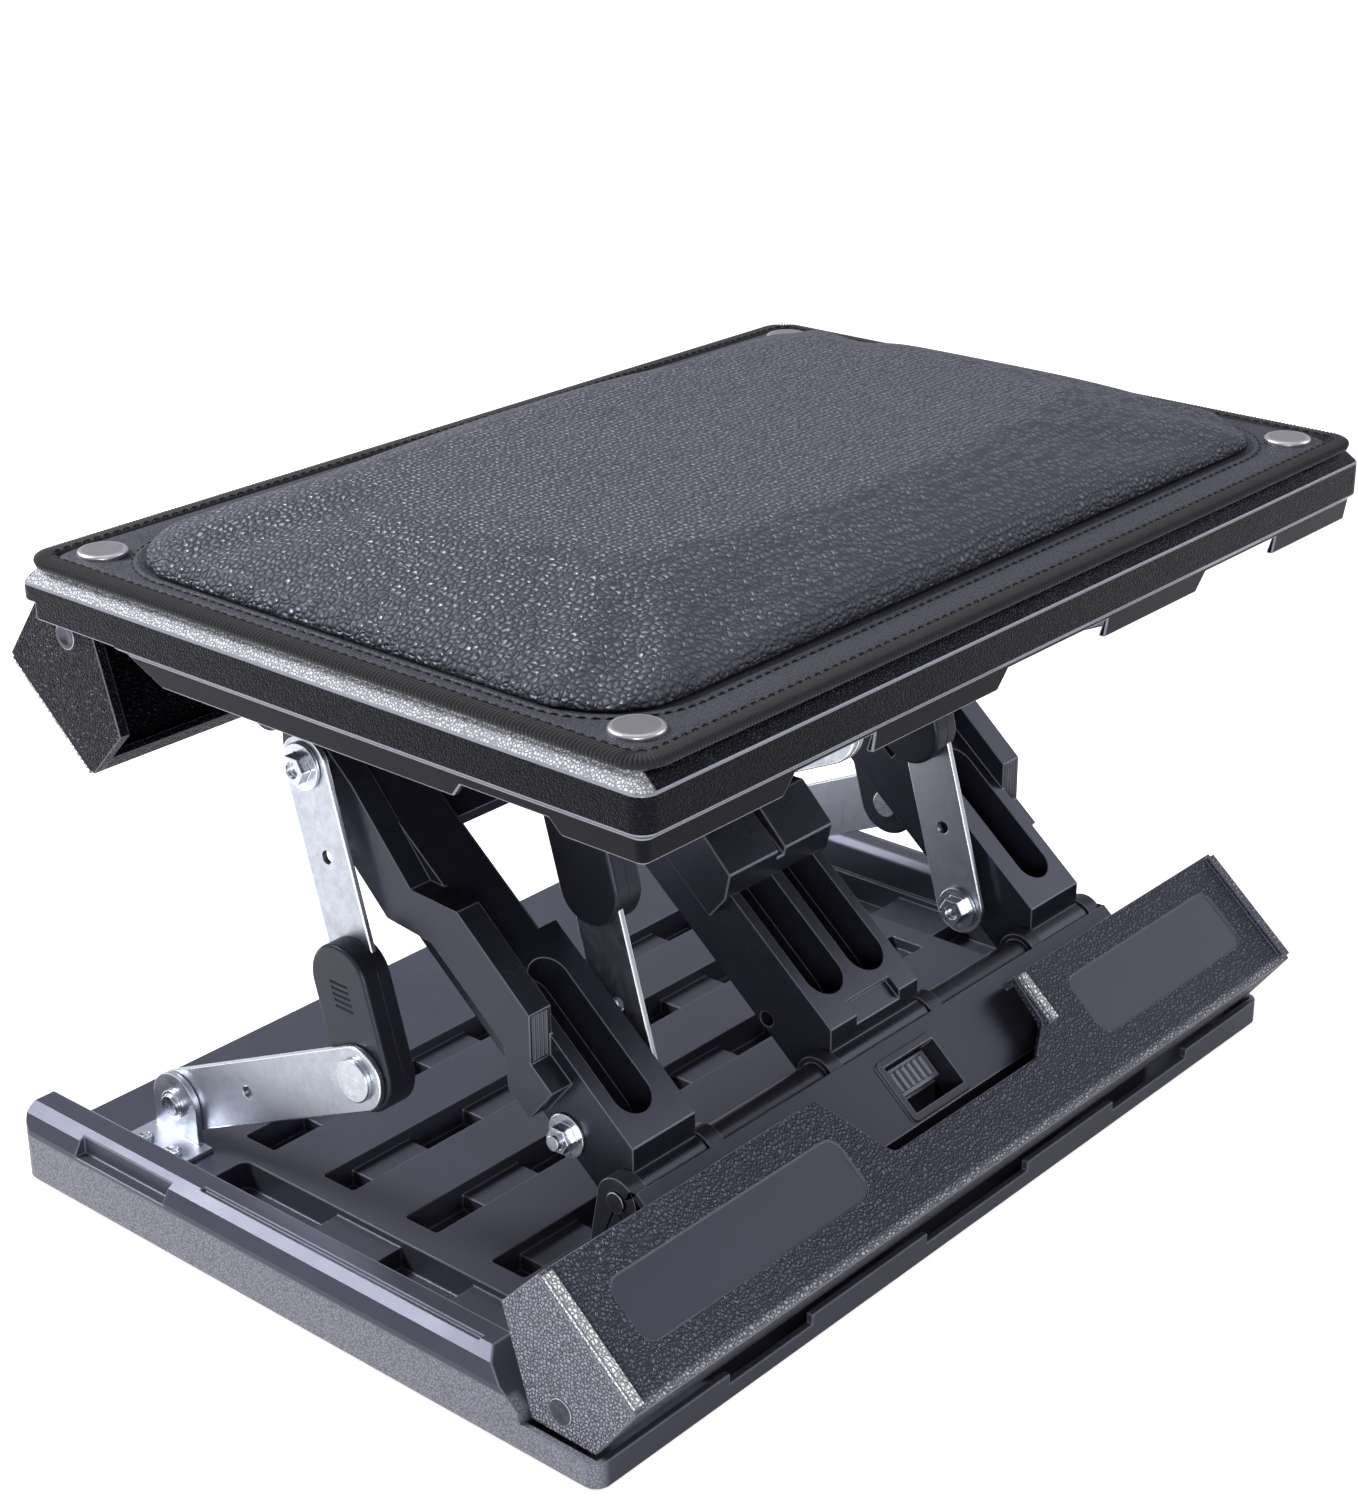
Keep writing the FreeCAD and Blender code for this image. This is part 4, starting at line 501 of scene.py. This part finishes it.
def outline(half, corner, places):
    """Points and outward directions round a rounded rectangle. places run from 0 to 8:
    even numbers start a straight side and odd ones a corner, beginning at the front."""
    part = np.floor(places).astype(int) % 8
    share = places - np.floor(places)
    quarter = part // 2
    bend = np.where(part % 2, share, 0.0)
    along = np.where(part % 2, 1.0, share)
    turn = (quarter + bend) * (math.pi / 2.0)
    out = np.stack([np.sin(turn), -np.cos(turn)], -1)
    x = half[0] - corner
    y = half[1] - corner
    centre = np.stack([np.array([1.0, 1.0, -1.0, -1.0])[quarter] * x,
                       np.array([-1.0, 1.0, 1.0, -1.0])[quarter] * y], -1)
    before = np.stack([np.array([-1.0, 1.0, 1.0, -1.0])[quarter] * x,
                       np.array([-1.0, -1.0, 1.0, 1.0])[quarter] * y], -1)
    radius = corner[..., None] if np.ndim(corner) else corner
    return MIDDLE + before + (centre - before) * along[..., None] + out * radius, out


def even_places(half, corner, count):
    """That many places, equally far apart round the outline."""
    legs = [2.0 * (half[0] - corner), math.pi / 2.0 * corner,
            2.0 * (half[1] - corner), math.pi / 2.0 * corner] * 2
    stops = np.cumsum([0.0] + legs)
    travel = np.linspace(0.0, stops[-1], count, endpoint=False)
    return np.interp(travel, stops, np.arange(9.0)), stops


def ringed(name, rows, loop):
    """A smooth mesh from rows of points, each a closed ring. With loop the last row joins
    the first. Otherwise both ends close on their middle points."""
    count, around = rows.shape[:2]
    points = rows.reshape(-1, 3)
    index = np.arange(count * around).reshape(count, around)
    after = np.roll(index, -1, axis=1)
    pairs = (index, after, np.roll(after, -1, axis=0), np.roll(index, -1, axis=0))
    if not loop:
        pairs = tuple(corner[:-1] for corner in pairs)
    faces = np.stack(pairs, -1).reshape(-1, 4).tolist()
    if not loop:
        points = np.concatenate([points, rows[:1].mean(1), rows[-1:].mean(1)])
        low = np.full(around, len(points) - 2)
        high = np.full(around, len(points) - 1)
        faces += np.stack([after[0], index[0], low], -1).tolist()
        faces += np.stack([index[-1], after[-1], high], -1).tolist()
    mesh = bpy.data.meshes.new(name)
    mesh.from_pydata(points.tolist(), [], faces)
    mesh.shade_smooth()
    piece = bpy.data.objects.new(name, mesh)
    scene.collection.objects.link(piece)
    return piece


def from_seam(x, y):
    """How far a point lies inside the pad's outline, smooth across its diagonals."""
    qx = np.abs(x - MIDDLE[0]) - (PAD_HALF[0] - PAD_CORNER)
    qy = np.abs(y - MIDDLE[1]) - (PAD_HALF[1] - PAD_CORNER)
    outside = np.hypot(np.maximum(qx, 0.0), np.maximum(qy, 0.0))
    inside = (qx + qy + np.sqrt((qx - qy) ** 2 + 0.03 ** 2)) / 2.0
    return PAD_CORNER - outside - np.minimum(inside, 0.0)


def evaluated(piece, name):
    """A copy of the piece's mesh with its modifiers worked in, and its points."""
    depsgraph = bpy.context.evaluated_depsgraph_get()
    mesh = bpy.data.meshes.new_from_object(piece.evaluated_get(depsgraph))
    mesh.name = name
    points = np.empty(len(mesh.vertices) * 3)
    mesh.vertices.foreach_get("co", points)
    return mesh, points.reshape(-1, 3)


places, stops = even_places(PAD_HALF, PAD_CORNER, PAD_AROUND)
inward = np.linspace(0.0, 1.0, PAD_RINGS)[:, None, None] ** 1.5 * 0.985
edge, out = outline(PAD_HALF, PAD_CORNER, places)
flat = MIDDLE + (1.0 - inward) * (edge - MIDDLE)
share = np.clip(from_seam(flat[..., 0], flat[..., 1]) / PAD_RUN, 0.0, 1.0)
rise = PAD_RISE * (1.0 - (1.0 - share) ** 2.2) ** 0.55
swell = PAD_SWELL * np.sin(np.pi * np.clip(rise / 0.011, 0.0, 1.0))
middling = 1.0 - np.minimum(1.0, np.abs(flat - MIDDLE) / np.array(PAD_HALF)) ** 2
rise = rise + PAD_CROWN * middling[..., 0] * middling[..., 1]
flat = flat + out * swell[..., None]
top = np.concatenate([flat, (RIM + SEAM_Z + rise)[..., None]], -1)
low = top[:1] - np.array([0.0, 0.0, PAD_UNDER])
pad = ringed("cushion_pad", np.concatenate([low, top]), False)
remesh = pad.modifiers.new("even", "REMESH")
remesh.mode = "VOXEL"
remesh.voxel_size = PAD_VOXEL
pad.data, start = evaluated(pad, "cushion_cover")
pad.modifiers.clear()
seam = pad.vertex_groups.new(name="seam")
seam.add(np.flatnonzero(start[:, 2] < RIM + SEAM_Z + SEAM_HOLD).tolist(), 1.0, "REPLACE")
cloth = pad.modifiers.new("cover", "CLOTH")
cloth.settings.quality = 6
cloth.settings.mass = 0.3
cloth.settings.use_pressure = True
cloth.settings.uniform_pressure_force = 4.0
cloth.settings.vertex_group_mass = "seam"
cloth.settings.effector_weights.gravity = 0.0
for step in range(COVER_STEPS):
    scene.frame_set(step + 1)
blown, points = evaluated(pad, "cushion_pad")
pad.modifiers.clear()
move = points - start
far = np.linalg.norm(move, axis=1, keepdims=True)
points = start + move * np.minimum(1.0, PAD_LIFT / np.maximum(far, 1e-9))
points[:, 2] = np.minimum(points[:, 2], CROWN_Z - 0.0004)
blown.vertices.foreach_set("co", points.ravel())
blown.update()
pad.data = blown
pad.vertex_groups.clear()
scene.frame_set(1)
even = pad.modifiers.new("even", "SMOOTH")
even.factor = 0.5
even.iterations = 10
finer = pad.modifiers.new("finer", "SUBSURF")
finer.levels = 1
finer.render_levels = 1
fine, points = evaluated(pad, "cushion_pad")
pad.modifiers.clear()
inside = from_seam(points[:, 0], points[:, 1])
height = points[:, 2] - RIM - SEAM_Z
offset = points[:, :2] - MIDDLE
corner = np.clip(np.abs(offset) - (np.array(PAD_HALF) - PAD_CORNER), 0.0, None)
near = np.clip(np.hypot(corner[:, 0], corner[:, 1]) / PAD_CORNER, 0.0, 1.0)
bend = np.arctan2(corner[:, 1], corner[:, 0] + 1e-6)
run = offset[:, 0] + offset[:, 1] + np.sign(offset[:, 0] * offset[:, 1]) * bend * PAD_CORNER
fold = np.sin(run * 620.0 + 1.5 * np.sin(run * 130.0)) * np.exp(-(height / FOLD_FADE) ** 2)
fold = fold * np.clip(height / 0.0015, 0.0, 1.0) * (FOLD_DEPTH + CORNER_FOLD_DEPTH * near)
points[:, 2] += fold
fine.vertices.foreach_set("co", points.ravel())
fine.update()
fine.shade_smooth()
pad.data = fine


def pebbled(name, code, size, depth, roughness):
    """Polyurethane leather: a coated cloth with rounded pebbles, matt in the creases
    between them and half glossy on top. The creases are painted darker as shade, and the
    tops a touch paler as highlight."""
    material, tree = blank(name)
    place = put(tree, "TexCoord").outputs["Object"]
    warp = put(tree, "TexNoise", {"Vector": place, "Scale": 1.0 / 0.004, "Detail": 1.0})
    push = put(tree, "VectorMath", {0: warp.outputs["Color"], 1: (0.0016, 0.0016, 0.0016)},
               operation="MULTIPLY")
    bent = put(tree, "VectorMath", {0: place, 1: push.outputs[0]}, operation="ADD")
    cells = put(tree, "TexVoronoi", {"Vector": bent.outputs[0], "Scale": 1.0 / size,
                                     "Randomness": 0.65}, feature="DISTANCE_TO_EDGE")
    spots = put(tree, "TexVoronoi", {"Vector": bent.outputs[0], "Scale": 1.0 / size,
                                     "Randomness": 0.65}, feature="F1")
    round_off = put(tree, "MapRange", {"Value": spots.outputs["Distance"], "From Min": 0.35,
                                       "From Max": 0.8, "To Min": 1.0, "To Max": 0.0})
    from_crease = put(tree, "Math", {0: cells.outputs["Distance"], 1: round_off.outputs[0]},
                      operation="MULTIPLY").outputs[0]
    full = put(tree, "MapRange", {"Value": from_crease, "From Max": 0.42}).outputs[0]
    dome = put(tree, "Math", {0: full, 1: 0.6}, operation="POWER")
    drift = put(tree, "TexNoise", {"Vector": place, "Scale": 18.0, "Detail": 3.0})
    hide = put(tree, "Mix", {0: drift.outputs["Fac"], 6: linear(code, 0.85),
                             7: linear(code, 1.25)}, data_type="RGBA")
    # Creases painted darker as shade, tops a touch paler as highlight
    painted_shading = put(tree, "MapRange", {"Value": from_crease, "From Min": 0.03, "From Max": 0.2,
                                  "To Min": 0.15, "To Max": 1.1})
    colour = put(tree, "VectorMath", {0: hide.outputs[2], "Scale": painted_shading.outputs[0]},
                 operation="SCALE")
    gloss = put(tree, "MapRange", {"Value": dome.outputs[0], "To Min": roughness + 0.3,
                                   "To Max": roughness})
    pores = put(tree, "TexNoise", {"Vector": place, "Scale": 1.0 / 0.0006, "Detail": 2.0})
    fine = put(tree, "Bump", {"Height": pores.outputs["Fac"], "Strength": 0.35,
                              "Distance": 0.00005})
    bump = put(tree, "Bump", {"Height": dome.outputs[0], "Strength": 1.0, "Distance": depth,
                              "Normal": fine.outputs[0]})
    shader = put(tree, "BsdfPrincipled", {"Base Color": colour.outputs[0], "IOR": 1.5,
                                          "Specular IOR Level": 0.95,
                                          "Specular Tint": (0.82, 0.84, 1.0, 1.0),
                                          "Roughness": gloss.outputs[0],
                                          "Normal": bump.outputs[0]})
    put(tree, "OutputMaterial", {"Surface": shader.outputs[0]})
    return material


leather = pebbled("pebbled polyurethane leather", "#41414c", 0.0026, 0.0010, 0.34)
pad.data.materials.append(leather)
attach(pad, "platform")
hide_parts("cushion")

# Cushion border. A finer strip of the same leather, laid flat round the pad over thin
# foam, and quilted by a crease along the pad's seam.
BORDER_HALF = (EDGE_HALF[0] - 0.0070, EDGE_HALF[1] - 0.0070)
BORDER_CORNER = 0.010
# Each row's share of the way in to the seam, its height over the rim and a step outwards
BORDER_ROWS = ((0.0, 0.0002, 0.0), (0.0002, 0.0024, 0.0), (0.12, 0.0031, 0.0),
               (0.45, 0.0032, 0.0), (0.80, 0.0031, 0.0), (1.0, 0.0024, 0.0),
               (1.0, 0.0030, -0.0012), (1.0, 0.0031, -0.0022), (1.0, 0.0022, -0.0036),
               (1.0, 0.0020, -0.0120), (1.0, 0.0002, -0.0120))
SEAM_OUT = 0.0024
places, stops = even_places(BORDER_HALF, BORDER_CORNER, 720)
outer, out = outline(BORDER_HALF, BORDER_CORNER, places)
seam_half = (PAD_HALF[0] + SEAM_OUT, PAD_HALF[1] + SEAM_OUT)
inner, out = outline(seam_half, PAD_CORNER + SEAM_OUT, places)
rows = [np.concatenate([outer + (inner - outer) * share + out * step,
                        np.full((len(places), 1), RIM + height)], -1)
        for share, height, step in BORDER_ROWS]
border = ringed("cushion_border", np.stack(rows)[::-1], True)
strip_leather = pebbled("fine polyurethane leather", "#303036", 0.0016, 0.0002, 0.45)
border.data.materials.append(strip_leather)
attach(border, "platform")

# Binding. A ribbed polyester tape folded over the border's raw edge. Its ribs fan out
# at the corners.
RIB_PITCH = 0.0016
RIB_HEIGHT = 0.00028
EDGE_CORNER = 0.012
# Each point's distance in from the edge, and its height over the rim
TAPE_PROFILE = ((0.0081, 0.0026), (0.0078, 0.0034), (0.0060, 0.0038), (0.0038, 0.0039),
                (0.0018, 0.0036), (0.0006, 0.0029), (0.0003, 0.0018), (0.0006, 0.0006),
                (0.0016, 0.0001), (0.0050, 0.0001), (0.0080, 0.0002))
profile = np.array(TAPE_PROFILE)
places, stops = even_places(EDGE_HALF, EDGE_CORNER, 4)
ribs = int(round(stops[-1] / RIB_PITCH))
places, stops = even_places(EDGE_HALF, EDGE_CORNER, 4 * ribs)
edge, out = outline(EDGE_HALF, EDGE_CORNER, places)
wave = RIB_HEIGHT * np.cos(np.arange(4 * ribs) * math.pi / 2.0)
shown = np.where(profile[:, 1] > 0.0015, 1.0, 0.0)
rib = wave[None, :] * shown[:, None]
depth = profile[:, :1] * np.ones_like(rib) + np.where(profile[:, :1] < 0.003, -rib, 0.0)
reach = np.minimum(depth, EDGE_CORNER - 0.001)
flat = edge[None] - out[None] * reach[..., None]
level = RIM + profile[:, 1:] + rib
tape = ringed("binding_tape", np.concatenate([flat, level[..., None]], -1)[::-1], True)
woven, tree = blank("ribbed polyester tape")
place = put(tree, "TexCoord").outputs["Object"]
fuzz = put(tree, "TexNoise", {"Vector": place, "Scale": 1.0 / 0.0005, "Detail": 3.0})
shade = put(tree, "Mix", {0: fuzz.outputs["Fac"], 6: linear("#111113"), 7: linear("#2f2f34")},
            data_type="RGBA")
bump = put(tree, "Bump", {"Height": fuzz.outputs["Fac"], "Strength": 0.6, "Distance": 0.0001})
yarn = put(tree, "BsdfPrincipled", {"Base Color": shade.outputs[2], "Roughness": 0.8,
                                    "Specular IOR Level": 0.3, "Sheen Weight": 0.15,
                                    "Normal": bump.outputs[0]})
put(tree, "OutputMaterial", {"Surface": yarn.outputs[0]})
tape.data.materials.append(woven)
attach(tape, "platform")
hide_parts("cushion_binding")


# Stitches. Bonded nylon thread: one row holds the binding, and one runs round the pad
# just outside its seam. Each stitch is bowed and dips in at its ends.
STITCH_PITCH = 0.0044
STITCH_LENGTH = 0.0035
THREAD_R = 0.00032


def stitched(half, corner, level):
    """Tubes of five rings of six points, one for each stitch, laid end to end round an
    outline at a level."""
    places, stops = even_places(half, corner, 4)
    count = int(stops[-1] / STITCH_PITCH)
    step = np.linspace(-0.5, 0.5, 5)
    travel = (np.arange(count)[:, None] * stops[-1] / count + step * STITCH_LENGTH) % stops[-1]
    flat, out = outline(half, corner, np.interp(travel, stops, np.arange(9.0)))
    radius = THREAD_R * (0.35 + 0.65 * np.cos(step * math.pi * 0.9))
    bow = 0.00045 * np.cos(step * math.pi)
    turn = np.linspace(0.0, 2.0 * math.pi, 6, endpoint=False)
    side = radius[:, None] * np.cos(turn)
    lift = radius[:, None] * np.sin(turn) + bow[:, None] + level
    ground = flat[:, :, None, :] + out[:, :, None, :] * side[None, :, :, None]
    return np.concatenate([ground, np.broadcast_to(lift, ground.shape[:3])[..., None]], -1)


tape_half = (EDGE_HALF[0] - 0.0066, EDGE_HALF[1] - 0.0066)
tubes = np.concatenate([stitched(tape_half, 0.006, RIM + 0.0037),
                        stitched((seam_half[0] - 0.0003, seam_half[1] - 0.0003),
                                 PAD_CORNER + SEAM_OUT, RIM + 0.0024)])
points = tubes.reshape(-1, 3)
index = np.arange(len(points)).reshape(len(tubes), 5, 6)
after = np.roll(index, -1, axis=2)
walls = np.stack([index[:, :-1], index[:, 1:], after[:, 1:], after[:, :-1]], -1).reshape(-1, 4)
ends = np.concatenate([index[:, 0], index[:, -1, ::-1]])
mesh = bpy.data.meshes.new("border_stitches")
mesh.from_pydata(points.tolist(), [], walls.tolist() + ends.tolist())
mesh.shade_smooth()
stitches = bpy.data.objects.new("border_stitches", mesh)
scene.collection.objects.link(stitches)
thread = moulded("bonded nylon thread", "#0a0a0b", 0.45)
mesh.materials.append(thread)
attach(stitches, "platform")
